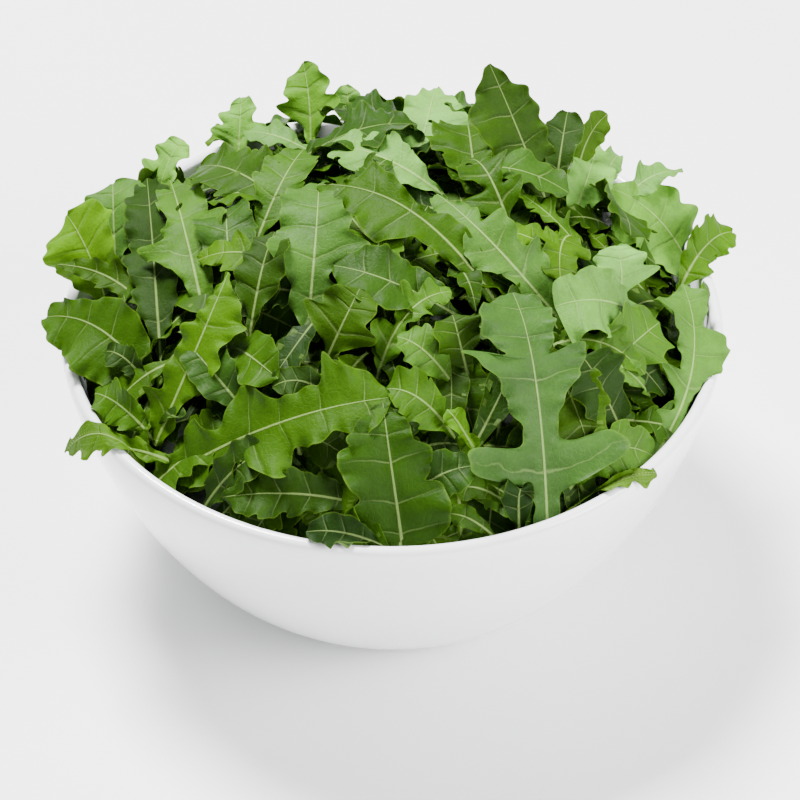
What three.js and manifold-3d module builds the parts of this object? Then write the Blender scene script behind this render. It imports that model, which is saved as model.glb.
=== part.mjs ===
// A white glazed bowl heaped with rocket leaves, in millimetres, +Z up.
// The origin is the middle of the bowl's flat underside, and the bowl's front is -Y.
import * as THREE from 'three';
import { mergeVertices } from 'three/addons/utils/BufferGeometryUtils.js';
import Module from 'manifold-3d';

const wasm = await Module();
wasm.setup();

// Driving dimensions of the bowl
const RIM_RADIUS = 120;
const BOWL_HEIGHT = 100.5;
const FOOT_RADIUS = 67.5;
const WALL = 4.5;
const FLOOR = 6;
const FOOT_BEVEL = 1.2;
const FULLNESS = 1.42;
const BOWL_SIDES = 48;
const WALL_STEPS = 7;
const LIP_STEPS = 4;

// Driving dimensions of the heap: how the leaves' tops lie, and the core under them
const HEAP_CROWN = 54;
const HEAP_SPREAD = 114;
const HEAP_POWER = 2.4;
const HEAP_EDGE = 6;
const CORE_DEPTH = 5;
const CORE_BUMP = 2.5;
const CORE_SIDES = 24;
const CORE_RINGS = 7;
const CORE_GAP = 0.6;
const LEAF_GAP = 0.35;

// Driving dimensions that every leaf shares
const RIB_THICKNESS = 1.5;
const STALK_SINK = 10;
const CUP = 0.14;
const WAVE = 1.6;
const WAVE_TURNS = 1.6;

// Each kind of leaf is an outline from its stalk to its tip. A station says how far along the
// length it is, how far the left and the right edge reach as shares of the leaf's reach, and how
// far the edges lean towards the tip as a share of the length.
const KINDS = {
  giant: [
    [0, 0.15, 0.15, 0], [0.1, 0.15, 0.17, 0], [0.175, 0.24, 0.18, 0.015], [0.205, 0.7, 0.72, 0.035],
    [0.24, 1.01, 0.96, 0.06], [0.255, 0.98, 1, 0.073], [0.28, 0.68, 0.68, 0.057],
    [0.305, 0.3, 0.29, 0.017], [0.375, 0.18, 0.22, 0.005], [0.455, 0.25, 0.36, 0.005],
    [0.52, 0.49, 0.45, 0.025], [0.565, 0.635, 0.76, 0.06], [0.58, 0.68, 0.89, 0.085],
    [0.612, 0.42, 0.68, 0.066], [0.642, 0.235, 0.3, 0.008], [0.72, 0.27, 0.52, 0.005],
    [0.84, 0.345, 0.56, 0], [0.92, 0.3, 0.38, 0], [1, 0.05, 0.1, 0],
  ],
  lobed: [
    [0, 0.05, 0.05, 0], [0.13, 0.07, 0.07, 0], [0.19, 0.26, 0.22, 0.01], [0.25, 0.85, 0.75, 0.05],
    [0.3, 1, 1, 0.08], [0.35, 0.62, 0.72, 0.1], [0.42, 0.24, 0.25, 0.02], [0.5, 0.5, 0.44, 0.07],
    [0.56, 0.92, 0.75, 0.13], [0.61, 0.5, 0.6, 0.1], [0.67, 0.27, 0.28, 0.02],
    [0.76, 0.44, 0.46, 0.02], [0.86, 0.52, 0.5, 0.02], [0.94, 0.36, 0.38, 0.01],
    [1, 0.08, 0.08, 0],
  ],
  crowned: [
    [0, 0.06, 0.06, 0], [0.15, 0.08, 0.08, 0], [0.24, 0.3, 0.24, 0.01], [0.32, 0.6, 0.42, 0.04],
    [0.38, 0.36, 0.3, 0.03], [0.5, 0.85, 0.8, 0.1], [0.55, 1, 1, 0.16], [0.61, 0.62, 0.66, 0.12],
    [0.68, 0.5, 0.52, 0.04], [0.76, 0.62, 0.6, 0.05], [0.84, 0.66, 0.68, 0.06],
    [0.93, 0.36, 0.36, 0.02], [1, 0.06, 0.06, 0],
  ],
  toothed: [
    [0, 0.06, 0.06, 0], [0.12, 0.1, 0.1, 0], [0.22, 0.5, 0.4, 0.01], [0.3, 0.82, 0.66, 0.05],
    [0.37, 0.64, 0.62, 0.03], [0.46, 0.94, 0.98, 0.07], [0.53, 0.76, 0.76, 0.03],
    [0.64, 1, 0.95, 0.07], [0.74, 0.78, 0.76, 0.03], [0.88, 0.52, 0.54, 0.02],
    [1, 0.06, 0.06, 0],
  ],
  broad: [
    [0, 0.06, 0.06, 0], [0.12, 0.12, 0.12, 0], [0.22, 0.52, 0.46, 0], [0.36, 0.86, 0.82, 0.01],
    [0.5, 1, 1, 0.02], [0.77, 0.8, 0.78, 0.02], [0.89, 0.5, 0.5, 0.02], [1, 0.08, 0.08, 0],
  ],
  spear: [
    [0, 0.1, 0.1, 0], [0.16, 0.14, 0.14, 0], [0.25, 0.4, 0.6, 0.03], [0.31, 0.66, 0.4, 0.05],
    [0.38, 0.46, 0.44, 0.02], [0.45, 0.62, 1, 0.08], [0.51, 0.96, 0.58, 0.09],
    [0.58, 0.56, 0.52, 0.03], [0.68, 0.66, 0.62, 0.04], [0.8, 0.46, 0.48, 0.02],
    [0.91, 0.26, 0.26, 0.01], [1, 0.05, 0.05, 0],
  ],
  strap: [
    [0, 0.2, 0.2, 0], [0.37, 0.48, 0.52, 0.01], [0.56, 0.82, 0.74, 0.02], [0.73, 1, 1, 0.02],
    [0.88, 0.74, 0.78, 0.02], [1, 0.12, 0.12, 0],
  ],
  winged: [
    [0, 0.06, 0.06, 0], [0.2, 0.08, 0.08, 0], [0.28, 0.3, 0.26, 0.01], [0.39, 1, 0.92, 0.1],
    [0.46, 0.78, 0.9, 0.1], [0.56, 0.5, 0.48, 0.02], [0.68, 0.64, 0.6, 0.05], [0.8, 0.48, 0.48, 0.02],
    [0.91, 0.34, 0.34, 0.02], [1, 0.06, 0.06, 0],
  ],
  hooked: [
    [0, 0.1, 0.1, 0], [0.11, 0.17, 0.26, 0], [0.195, 0.21, 0.3, 0.005], [0.26, 0.36, 0.38, 0.015],
    [0.3, 0.56, 0.46, 0.025], [0.335, 0.81, 0.62, 0.055], [0.365, 0.98, 0.79, 0.09],
    [0.397, 0.64, 0.8, 0.055], [0.435, 0.37, 0.8, 0.035], [0.475, 0.46, 0.66, 0.04],
    [0.52, 0.27, 0.38, 0.01], [0.595, 0.27, 0.54, 0.005], [0.7, 0.38, 0.5, 0], [0.81, 0.3, 0.28, 0],
    [0.93, 0.1, 0.08, 0], [1, 0.03, 0.03, 0],
  ],
  ragged: [
    [0, 0.1, 0.1, 0], [0.09, 0.37, 0.31, 0.01], [0.13, 0.5, 0.51, 0.025], [0.175, 0.21, 0.67, 0.035],
    [0.22, 0.23, 0.38, 0.015], [0.285, 0.28, 0.31, 0.005], [0.325, 0.38, 0.6, 0.015],
    [0.37, 0.61, 0.87, 0.025], [0.445, 0.88, 0.72, 0.025], [0.51, 0.62, 0.41, 0.015],
    [0.555, 0.44, 0.37, 0.005], [0.64, 0.57, 0.43, 0], [0.725, 0.47, 0.41, 0],
    [0.743, 0.42, 0.95, 0.015], [0.81, 0.6, 0.57, 0.01], [0.92, 0.5, 0.48, 0], [1, 0.06, 0.06, 0],
  ],
  oval: [
    [0, 0.08, 0.1, 0], [0.065, 0.5, 0.7, 0], [0.12, 0.74, 0.98, 0.005], [0.175, 1, 1.05, 0.015],
    [0.225, 1.1, 1.04, 0.025], [0.27, 0.73, 0.99, 0.015], [0.32, 0.83, 0.88, 0.015],
    [0.332, 0.85, 0.62, 0.006], [0.4, 0.96, 0.81, 0], [0.5, 1.05, 0.9, 0], [0.57, 1.01, 0.72, 0.01],
    [0.61, 0.71, 0.53, 0.008], [0.685, 0.82, 0.5, 0.015], [0.75, 0.62, 0.47, 0.01],
    [0.86, 0.41, 0.24, 0], [0.985, 0.05, 0.05, 0],
  ],
  flagged: [
    [0, 0.06, 0.06, 0], [0.095, 0.4, 0.42, 0.005], [0.16, 0.7, 0.36, 0.027], [0.2, 0.38, 0.4, 0.012],
    [0.27, 0.34, 0.53, 0.01], [0.325, 0.6, 0.71, 0.02], [0.37, 1.03, 0.79, 0.04],
    [0.41, 0.75, 0.83, 0.045], [0.465, 0.62, 0.67, 0.025], [0.555, 0.66, 0.68, 0.015],
    [0.65, 0.47, 0.68, 0], [0.81, 0.4, 0.64, 0], [0.95, 0.22, 0.42, 0], [1, 0.06, 0.1, 0],
  ],
  sprawled: [
    [0, 0.1, 0.06, 0], [0.125, 0.3, 0.1, 0.005], [0.205, 0.25, 0.16, 0.02], [0.225, 0.44, 0.26, 0.045],
    [0.28, 0.14, 0.34, 0.02], [0.32, 0.12, 0.2, 0.01], [0.385, 0.38, 0.34, 0.015],
    [0.425, 0.7, 0.52, 0.04], [0.452, 1.08, 0.6, 0.075], [0.473, 0.62, 0.6, 0.035], [0.5, 0.22, 0.6, 0],
    [0.57, 0.28, 0.62, 0.005], [0.645, 0.4, 0.74, 0.02], [0.715, 0.56, 0.66, 0.04],
    [0.745, 0.99, 0.29, 0.025], [0.775, 1.05, 0.28, 0.035], [0.875, 0.7, 0.38, 0.02],
    [0.935, 0.28, 0.38, 0.005], [1, 0.05, 0.05, 0],
  ],
  stepped: [
    [0, 0.1, 0.15, 0], [0.09, 0.3, 0.44, 0.01], [0.115, 0.25, 0.84, 0.05], [0.16, 0.23, 0.62, 0.04],
    [0.215, 0.26, 0.4, 0.01], [0.29, 0.55, 0.54, 0.01], [0.4, 0.77, 0.46, 0.02],
    [0.48, 0.63, 0.46, 0.015], [0.545, 0.68, 0.5, 0.02], [0.57, 0.8, 0.24, 0.03],
    [0.61, 0.98, 0.25, 0.06], [0.64, 0.72, 0.25, 0.035], [0.725, 0.75, 0.2, 0.02],
    [0.83, 0.38, 0.18, 0.005], [0.94, 0.11, 0.05, 0], [1, 0.03, 0.03, 0],
  ],
  wedged: [
    [0, 0.12, 0.12, 0], [0.135, 0.26, 0.2, 0.005], [0.26, 0.48, 0.3, 0.01], [0.38, 0.5, 0.5, 0.02],
    [0.445, 0.2, 0.62, 0.01], [0.485, 0.18, 0.93, 0.015], [0.57, 0.34, 1.15, 0.03],
    [0.65, 0.57, 0.9, 0.04], [0.725, 0.76, 0.79, 0.06], [0.775, 0.4, 0.54, 0.04],
    [0.885, 0.06, 0.42, 0.015], [1, 0.02, 0.1, 0],
  ],
  pronged: [
    [0, 0.1, 0.1, 0], [0.14, 0.28, 0.55, 0.01], [0.23, 0.32, 0.84, 0.05], [0.26, 0.36, 0.84, 0.08],
    [0.297, 0.45, 0.48, 0.03], [0.365, 0.65, 0.51, 0.035], [0.425, 0.68, 0.63, 0.085],
    [0.475, 0.45, 0.66, 0.115], [0.53, 0.32, 0.22, 0.07], [0.6, 0.36, 0.3, 0.04],
    [0.7, 0.46, 0.34, 0.035], [0.785, 0.42, 0.14, 0.015], [0.93, 0.3, 0.05, 0], [1, 0.12, 0.04, 0],
  ],
  cloaked: [
    [0, 0.2, 0.15, 0], [0.06, 0.5, 0.27, 0], [0.145, 0.86, 0.42, 0.015], [0.2, 0.9, 1.02, 0.04],
    [0.225, 0.91, 1.26, 0.055], [0.255, 0.92, 0.96, 0.045], [0.34, 0.95, 0.92, 0.05],
    [0.405, 0.72, 0.9, 0.055], [0.44, 0.53, 0.9, 0.04], [0.565, 0.54, 0.76, 0.03],
    [0.675, 0.51, 0.6, 0.02], [0.78, 0.32, 0.51, 0.01], [0.885, 0.2, 0.28, 0.005], [1, 0.04, 0.06, 0],
  ],
  pointed: [
    [0, 0.08, 0.08, 0], [0.15, 0.32, 0.24, 0], [0.29, 0.64, 0.45, 0.01], [0.46, 0.55, 0.7, 0.02],
    [0.58, 0.6, 0.94, 0.02], [0.685, 0.63, 1.05, 0.025], [0.78, 0.51, 0.93, 0.02],
    [0.83, 0.33, 0.65, 0.01], [0.92, 0.19, 0.46, 0.005], [1, 0.06, 0.12, 0],
  ],
  draped: [
    [0, 0.12, 0.1, 0], [0.15, 0.6, 0.25, 0.01], [0.29, 0.95, 0.45, 0.03], [0.41, 1.06, 0.76, 0.04],
    [0.52, 1.17, 0.65, 0.04], [0.585, 1.26, 0.93, 0.06], [0.69, 1.36, 0.65, 0.06],
    [0.82, 1.43, 0.34, 0.05], [0.93, 1.28, 0.16, 0.035], [0.945, 0.8, 0.1, 0.02], [1, 0.1, 0.04, 0],
  ],
  cupped: [
    [0, 0.1, 0.12, 0], [0.2, 0.16, 0.4, 0], [0.31, 0.33, 0.38, 0.01], [0.41, 0.5, 0.72, 0.02],
    [0.52, 0.74, 0.87, 0.02], [0.62, 0.88, 0.98, 0.03], [0.705, 0.8, 0.93, 0.03],
    [0.78, 0.7, 0.8, 0.02], [0.885, 0.64, 0.95, 0.02], [0.96, 0.4, 1.08, 0.015], [1, 0.06, 0.1, 0],
  ],
  paddle: [
    [0, 0.15, 0.3, 0], [0.15, 0.36, 0.74, 0], [0.33, 0.7, 0.96, 0.02], [0.445, 0.77, 1.01, 0.035],
    [0.55, 0.64, 0.85, 0.02], [0.66, 0.46, 0.8, 0.02], [0.79, 0.38, 0.69, 0.01],
    [0.9, 0.35, 0.54, 0.01], [0.99, 0.32, 0.26, 0], [1, 0.1, 0.08, 0.03],
  ],
};

// The leaves that lie on top, placed by hand. A row is the kind, the stalk's x and y, the tip's
// x and y, the tip's height over the heap, the middle's height over the heap, how far the middle
// bows to the left, the reach, the roll in degrees, and 'over' where it hangs over the rim.
const TOP_LEAVES = [
  // At the back, standing or leaning outwards
  ['winged', -30, 61, -33, 88, 34, 14, -1, 14, 0],
  ['strap', -17, 78, -18, 90, 20, 9, -1, 5, 0],
  ['broad', -9, 46, -11, 84, 10, 2, 0, 8, 0],
  ['winged', -57, 60, -56, 84, 27, 13, 0, 11, 30],
  ['winged', -89, 44, -77, 64, 22, 14, 1, 13, 35],
  ['cloaked', 8, 45, 16, 88, 18, 6, -1, 17, 0],
  ['pointed', 59, 22, 35, 56, 39, 12, -1, 16, -40],
  ['strap', 58, 23, 64, 56, 29, 14, 0, 7.5, -45],
  ['strap', 66, 36, 79, 64, 36, 16, 3, 6, 0],
  ['broad', 63, 18, 76, 62, 21, 6, -1, 8.5, 0],
  ['strap', 74, 42, 84, 64, 20, 11, 0, 5, 0],
  ['spear', 79, 42, 108, 62, 36, 17, 2, 7, 0],
  ['strap', -23, 54, -55, 68, 12, 4, 1, 6, -20],
  ['toothed', 21, 23, -22, 43, 4, 4, 4, 11, -20],
  ['toothed', -50, -1, -32, 41, 5, 3, -1, 10, 15],
  // On the left
  ['broad', -101, 22, -103, 52, 27, 16, 0, 13, 35],
  ['broad', -100, -3, -118, 27, 40, 20, 0, 15, 15],
  ['spear', -83, -17, -121, 12, 30, 8, -4, 7, 0],
  ['toothed', -81, -40, -90, 50, 18, 4, 0, 12, 15],
  ['hooked', -65, -30, -82, 51, 11, 6, 1, 19, 15],
  ['paddle', -85, -41, -124, -4, 22, 9, -2, 17, 0],
  ['toothed', -85, -42, -101, -29, 6, 4, 1, 5.5, 0],
  ['stepped', -83, -62, -57, -26, 9, 6, -4, 15, 10],
  ['toothed', -83, -61, -105, -41, 5, 3, 1, 8, 0],
  ['spear', -73, -73, -116, -54, 7, 5, 2, 8, 0, 'over'],
  // In the middle
  ['broad', -50, -42, -41, -9, 5, 4, 0, 9, 0],
  ['flagged', -29, -41, -26, 14, 5, 6, -1, 19, 0],
  ['lobed', 44, 2, 28, 31, 5, 8, 1, 12, -30],
  ['wedged', 39, -32, -26, 12, 6, 8, -2.5, 15, -20],
  ['pronged', 59, -28, 16, 9, 3, 5, 6, 15, -20],
  ['broad', 27, -39, -20, -28, 4, 4, 4, 12, 0],
  ['winged', -25, -58, -11, -43, 9, 5, -2, 17, 0],
  ['broad', -21, -67, -41, -68, 3, 2, 0, 6, 0],
  ['broad', 27, -61, 21, -48, 4, 3, 1, 9, 0],
  ['toothed', 23, -64, 2, -57, 4, 3, 1, 8, 0],
  ['toothed', 23, -80, -2, -74, 4, 4, 0, 9, 0],
  ['strap', 30, -83, 19, -79, 4, 3, 2, 4, 0],
  // On the right
  ['draped', 116, 24, 79, 45, 7, 7, -9, 15, -40],
  ['toothed', 104, 18, 126, 44, 34, 17, 1, 9, 0],
  ['winged', 81, -16, 80, 1, 8, 5, -1, 15, -25],
  ['cupped', 95, -13, 57, -35, 3, 7, 3, 14, -10],
  ['broad', 83, -64, 66, -51, 5, 3, 1, 11, -15],
  ['strap', 92, -41, 76, -46, 3, 2, 3, 5, 0],
  ['sprawled', 88, -68, 105, 5, 8, 6, -10, 17, -20],
  ['strap', 108, 0, 118, 19, 10, 6, -1, 5, 0],
  ['strap', 60, -92, 92, -80, 11, 6, -1, 5, 0, 'over'],
  // In front
  ['ragged', -80, -74, 0, -77, 5, 5, -5, 20, 0],
  ['broad', -68, -90, -42, -86, 3, 2, 0, 8, 0],
  ['toothed', -7, -98, -58, -94, 3, 3, 3, 9, 0],
  ['oval', 4, -109, -3, -79, 6, 6, 1, 16, 0],
  ['strap', 41, -94, 20, -100, 4, 1, 0, 5, 0],
  ['broad', 44, -102, 45, -95, 2, 3, 1, 6, 0],
  ['strap', 39, -105, 19, -106, 4, 3, 1, 4, 0],
  ['broad', 0, -109, -29, -112, 10, 9, 3, 6, 0, 'over'],
  ['giant', 54, -104, 42, -37, 6, 8, -2, 30, 0],
];

// The leaves between and behind those, spread evenly by turning through the golden angle, and
// only where no leaf lies yet. Lengths and heights are a least and a most.
const FILL_PLACES = 260;
const FILL_SPREAD = 110;
const FILL_CLEARANCE = 2.5;
const COVERED_SHARE = 0.5;
const FILL_KINDS = ['toothed', 'broad', 'spear', 'broad', 'lobed', 'toothed', 'crowned'];
const FILL_SLENDER = 0.26;
const BACK = { starts: 25, length: [40, 62], lift: [4, 16], arch: 6 };
const FRONT = { length: [26, 42], lift: [1, 5], arch: 2 };
const ALONG_RIM = 88;
const GOLDEN_ANGLE = Math.PI * (3 - Math.sqrt(5));
const SEED = 7;

const clamp = THREE.MathUtils.clamp;
const smoothstep = THREE.MathUtils.smoothstep;

// Seeded random numbers from 0 to 1
function seeded(start) {
  let state = start;
  return () => {
    state = (state * 1664525 + 1013904223) % 4294967296;
    return state / 4294967296;
  };
}

// The curve of a bowl wall from its foot to its rim, as points of radius and height
function wallCurve(footRadius, rimRadius, low, high, steps) {
  const points = [];
  for (let i = 0; i <= steps; i++) {
    const angle = (i / steps) * Math.PI / 2;
    const out = Math.sin(angle) ** (2 / FULLNESS);
    const up = 1 - Math.max(Math.cos(angle), 0) ** (2 / FULLNESS);
    points.push(new THREE.Vector2(
      footRadius + (rimRadius - footRadius) * out,
      low + (high - low) * up,
    ));
  }
  return points;
}

// The bowl's section from the axis, under the foot, over the lip and back to the axis.
// Grown by a margin it is the space that the leaves keep out of.
function bowlSection(margin) {
  const lip = WALL / 2;
  const shoulder = BOWL_HEIGHT - lip;
  const foot = FOOT_RADIUS + margin;
  const outside = wallCurve(foot, RIM_RADIUS + margin, FOOT_BEVEL - margin, shoulder, WALL_STEPS);
  const inside = wallCurve(
    FOOT_RADIUS - WALL - margin, RIM_RADIUS - WALL - margin, FLOOR + margin, shoulder, WALL_STEPS,
  );
  const top = [];
  for (let i = 1; i < LIP_STEPS; i++) {
    const angle = (i / LIP_STEPS) * Math.PI;
    top.push(new THREE.Vector2(
      RIM_RADIUS - lip + (lip + margin) * Math.cos(angle),
      shoulder + (lip + margin) * Math.sin(angle),
    ));
  }
  return [
    new THREE.Vector2(0, -margin),
    new THREE.Vector2(foot - FOOT_BEVEL, -margin),
    ...outside,
    ...top,
    ...inside.reverse(),
    new THREE.Vector2(0, FLOOR + margin),
  ];
}

// A closed geometry as a solid, and a solid as a geometry
function solidOf(geometry) {
  const bare = geometry.clone();
  bare.deleteAttribute('normal');
  bare.deleteAttribute('uv');
  const merged = mergeVertices(bare, 1e-4);
  const index = merged.index.array;
  const kept = [];
  for (let i = 0; i < index.length; i += 3) {
    const [a, b, c] = [index[i], index[i + 1], index[i + 2]];
    if (a !== b && b !== c && c !== a) {
      kept.push(a, b, c);
    }
  }
  return new wasm.Manifold(new wasm.Mesh({
    numProp: 3,
    vertProperties: Float32Array.from(merged.attributes.position.array),
    triVerts: Uint32Array.from(kept),
  }));
}

function geometryOf(solid) {
  const mesh = solid.getMesh();
  const geometry = new THREE.BufferGeometry();
  geometry.setAttribute('position', new THREE.BufferAttribute(mesh.vertProperties, mesh.numProp));
  geometry.setIndex(new THREE.BufferAttribute(mesh.triVerts, 1));
  geometry.computeVertexNormals();
  return geometry;
}

// A turned section stands along +Z
function turned(section) {
  return new THREE.LatheGeometry(section, BOWL_SIDES).rotateX(Math.PI / 2);
}

// The height that the leaves' tops follow, highest in the middle and just below the rim outside
function heapHeight(x, y) {
  const share = Math.min(Math.hypot(x, y) / HEAP_SPREAD, 1.25);
  return BOWL_HEIGHT - HEAP_EDGE + HEAP_CROWN * (1 - share ** HEAP_POWER);
}

function heapNormal(x, y) {
  const step = 1;
  return new THREE.Vector3(
    heapHeight(x - step, y) - heapHeight(x + step, y),
    heapHeight(x, y - step) - heapHeight(x, y + step),
    2 * step,
  ).normalize();
}

// Uneven bumps over the core, as deep as the hollows between leaves
function coreBump(x, y) {
  return CORE_BUMP * (Math.sin(x / 9 + 1.3) * Math.cos(y / 8) + 0.6 * Math.sin((x - y) / 13));
}

// The core: it fills the bowl under the leaves, a little inside the wall, and is domed on top
function coreGeometry() {
  const shoulder = BOWL_HEIGHT - WALL / 2;
  const wall = wallCurve(
    FOOT_RADIUS - WALL - CORE_GAP, RIM_RADIUS - WALL - CORE_GAP, FLOOR + CORE_GAP, shoulder, 7,
  );
  const edge = wall[wall.length - 2];
  const rings = wall.slice(0, -1);
  for (let ring = 1; ring < CORE_RINGS; ring++) {
    rings.push(new THREE.Vector2(edge.x * (1 - ring / CORE_RINGS), null));
  }
  const places = [[0, 0, FLOOR + CORE_GAP]];
  for (const ring of rings) {
    for (let side = 0; side < CORE_SIDES; side++) {
      const angle = (side / CORE_SIDES) * 2 * Math.PI;
      const x = ring.x * Math.cos(angle);
      const y = ring.x * Math.sin(angle);
      const high = heapHeight(x, y) - CORE_DEPTH + coreBump(x, y);
      places.push([x, y, ring.y ?? high]);
    }
  }
  places.push([0, 0, heapHeight(0, 0) - CORE_DEPTH]);
  const faces = [];
  const last = places.length - 1;
  for (let side = 0; side < CORE_SIDES; side++) {
    const next = (side + 1) % CORE_SIDES;
    faces.push(0, 1 + next, 1 + side);
    for (let ring = 1; ring < rings.length; ring++) {
      const low = 1 + (ring - 1) * CORE_SIDES;
      const up = low + CORE_SIDES;
      faces.push(low + side, low + next, up + next);
      faces.push(low + side, up + next, up + side);
    }
    const top = 1 + (rings.length - 1) * CORE_SIDES;
    faces.push(top + side, top + next, last);
  }
  return meshOf(places, faces);
}

function meshOf(places, faces) {
  const geometry = new THREE.BufferGeometry();
  geometry.setAttribute('position', new THREE.Float32BufferAttribute(places.flat(), 3));
  geometry.setIndex(faces);
  return geometry;
}

// Radius of the bowl's inside at a height, and how far out a leaf may be there. Above the lip
// it may reach over it.
function insideRadius(height) {
  const share = clamp((height - FLOOR) / (BOWL_HEIGHT - WALL / 2 - FLOOR), 0, 1);
  const out = (1 - (1 - share) ** FULLNESS) ** (1 / FULLNESS);
  return FOOT_RADIUS - WALL + (RIM_RADIUS - FOOT_RADIUS) * out;
}

function clearOfBowl(point, over) {
  const radius = Math.hypot(point.x, point.y);
  const lipMiddle = RIM_RADIUS - WALL / 2;
  if (over) {
    const ridge = BOWL_HEIGHT + 1.6 - 8 * ((radius - lipMiddle) / 7) ** 2;
    point.z = Math.max(point.z, ridge);
    return point;
  }
  const free = smoothstep(point.z, BOWL_HEIGHT - 1, BOWL_HEIGHT + 4);
  const limit = insideRadius(point.z) - 1.2 + 20 * free;
  const pull = Math.min(1, limit / radius);
  point.x *= pull;
  point.y *= pull;
  return point;
}

// A leaf's frame: its midrib is a curve through the stalk, the middle and the tip, its side runs
// along the heap and its face looks out of the heap
function leafFrame(leaf) {
  const [, stalkX, stalkY, tipX, tipY, tipLift, arch, bow, , roll] = leaf;
  const stalk = new THREE.Vector3(stalkX, stalkY, heapHeight(stalkX, stalkY) - STALK_SINK);
  const tip = new THREE.Vector3(tipX, tipY, heapHeight(tipX, tipY) + tipLift);
  const plan = new THREE.Vector2(tipX - stalkX, tipY - stalkY).normalize();
  const middleX = (stalkX + tipX) / 2 - plan.y * bow;
  const middleY = (stalkY + tipY) / 2 + plan.x * bow;
  const middle = new THREE.Vector3(middleX, middleY, heapHeight(middleX, middleY) + arch);
  const pull = middle.clone().multiplyScalar(2).addScaledVector(stalk, -0.5).addScaledVector(tip, -0.5);
  const rib = new THREE.QuadraticBezierCurve3(stalk, pull, tip);
  const chord = tip.clone().sub(stalk).normalize();
  const side = new THREE.Vector3().crossVectors(heapNormal(middleX, middleY), chord).normalize();
  side.applyAxisAngle(chord, THREE.MathUtils.degToRad(roll));
  return { rib, side };
}

// A place on a leaf: along its midrib, out to the side (left is positive) and through its face
function leafPlace(frame, along, out, through, over) {
  const clipped = clamp(along, 0, 1);
  const tangent = frame.rib.getTangent(clipped);
  const point = frame.rib.getPoint(clipped);
  point.addScaledVector(tangent, (along - clipped) * frame.length);
  const side = frame.side.clone().addScaledVector(tangent, -frame.side.dot(tangent)).normalize();
  const face = new THREE.Vector3().crossVectors(tangent, side);
  const wave = Math.sin(2 * Math.PI * (WAVE_TURNS * along + frame.phase) + Math.sign(out));
  const rise = CUP * Math.abs(out) + WAVE * wave * Math.abs(out) / frame.reach;
  point.addScaledVector(side, out);
  point.addScaledVector(face, rise + through);
  return clearOfBowl(point, over);
}

// A leaf is a thin wavy solid, thickest at its midrib, with both faces split alike
function leafGeometry(leaf, number) {
  const [kind] = leaf;
  const reach = leaf[8];
  const over = leaf[10] === 'over';
  const frame = leafFrame(leaf);
  frame.length = frame.rib.getLength();
  frame.reach = reach;
  frame.phase = (number * 0.37) % 1;
  const places = [];
  for (const [along, left, right, lean] of KINDS[kind]) {
    const shares = number % 2 ? [left, right] : [right, left];
    const thick = RIB_THICKNESS / 2 * (1 - 0.6 * along);
    places.push(leafPlace(frame, along + lean, shares[0] * reach, 0, over).toArray());
    places.push(leafPlace(frame, along, 0, thick, over).toArray());
    places.push(leafPlace(frame, along + lean, -shares[1] * reach, 0, over).toArray());
    places.push(leafPlace(frame, along, 0, -thick, over).toArray());
  }
  const faces = [0, 2, 1, 0, 3, 2];
  const last = places.length - 4;
  for (let low = 0; low < last; low += 4) {
    for (let edge = 0; edge < 4; edge++) {
      const a = low + edge;
      const b = low + (edge + 1) % 4;
      // The upper and the lower face are split the same way
      if (edge % 2 === 0) {
        faces.push(a, b, a + 4, b, b + 4, a + 4);
      } else {
        faces.push(a, b + 4, a + 4, a, b, b + 4);
      }
    }
  }
  faces.push(last, last + 1, last + 2, last, last + 2, last + 3);
  return meshOf(places, faces);
}

// How far a place is from the nearest leaf's midrib, past the part of its reach that always covers
function bareness(x, y, leaves) {
  const place = new THREE.Vector3(x, y, 0);
  const near = new THREE.Vector3();
  let bare = Infinity;
  for (const [, stalkX, stalkY, tipX, tipY, , , , reach] of leaves) {
    const rib = new THREE.Line3(new THREE.Vector3(stalkX, stalkY, 0), new THREE.Vector3(tipX, tipY, 0));
    rib.closestPointToPoint(place, true, near);
    bare = Math.min(bare, near.distanceTo(place) - COVERED_SHARE * reach);
  }
  return bare;
}

// The leaves that fill the bare places: along the rim they follow it, elsewhere they turn any way
function fillLeaves(topLeaves) {
  const random = seeded(SEED);
  const between = ([least, most]) => least + (most - least) * random();
  const leaves = [];
  for (let i = 0; i < FILL_PLACES; i++) {
    const angle = i * GOLDEN_ANGLE;
    const radius = FILL_SPREAD * Math.sqrt((i + 0.5) / FILL_PLACES);
    const x = radius * Math.cos(angle);
    const y = radius * Math.sin(angle);
    if (bareness(x, y, [...topLeaves, ...leaves]) < FILL_CLEARANCE) {
      continue;
    }
    const part = y > BACK.starts ? BACK : FRONT;
    const long = between(part.length);
    const turn = radius > ALONG_RIM ? Math.PI / 2 + between([-0.6, 0.6]) : between([0, 2 * Math.PI]);
    const half = new THREE.Vector2(long / 2, 0).rotateAround(new THREE.Vector2(), angle + turn);
    const kind = FILL_KINDS[leaves.length % FILL_KINDS.length];
    const lift = between(part.lift);
    const bow = between([-4, 4]);
    const reach = FILL_SLENDER * long * between([0.85, 1.25]);
    const roll = between([-14, 14]);
    leaves.push([
      kind, x - half.x, y - half.y, x + half.x, y + half.y, lift, part.arch, bow, reach, roll,
    ]);
  }
  return leaves;
}

// The heap: the core and all leaves as one body, cut clear of the bowl. What the cut leaves
// loose is dropped, and a hollow that the leaves close in is filled.
function heapGeometry() {
  let heap = solidOf(coreGeometry());
  [...TOP_LEAVES, ...fillLeaves(TOP_LEAVES)].forEach((leaf, number) => {
    heap = heap.add(solidOf(leafGeometry(leaf, number)));
  });
  heap = heap.subtract(solidOf(turned(bowlSection(LEAF_GAP))));
  const bodies = heap.decompose().sort((a, b) => b.volume() - a.volume());
  return geometryOf(bodies[0]);
}

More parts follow.
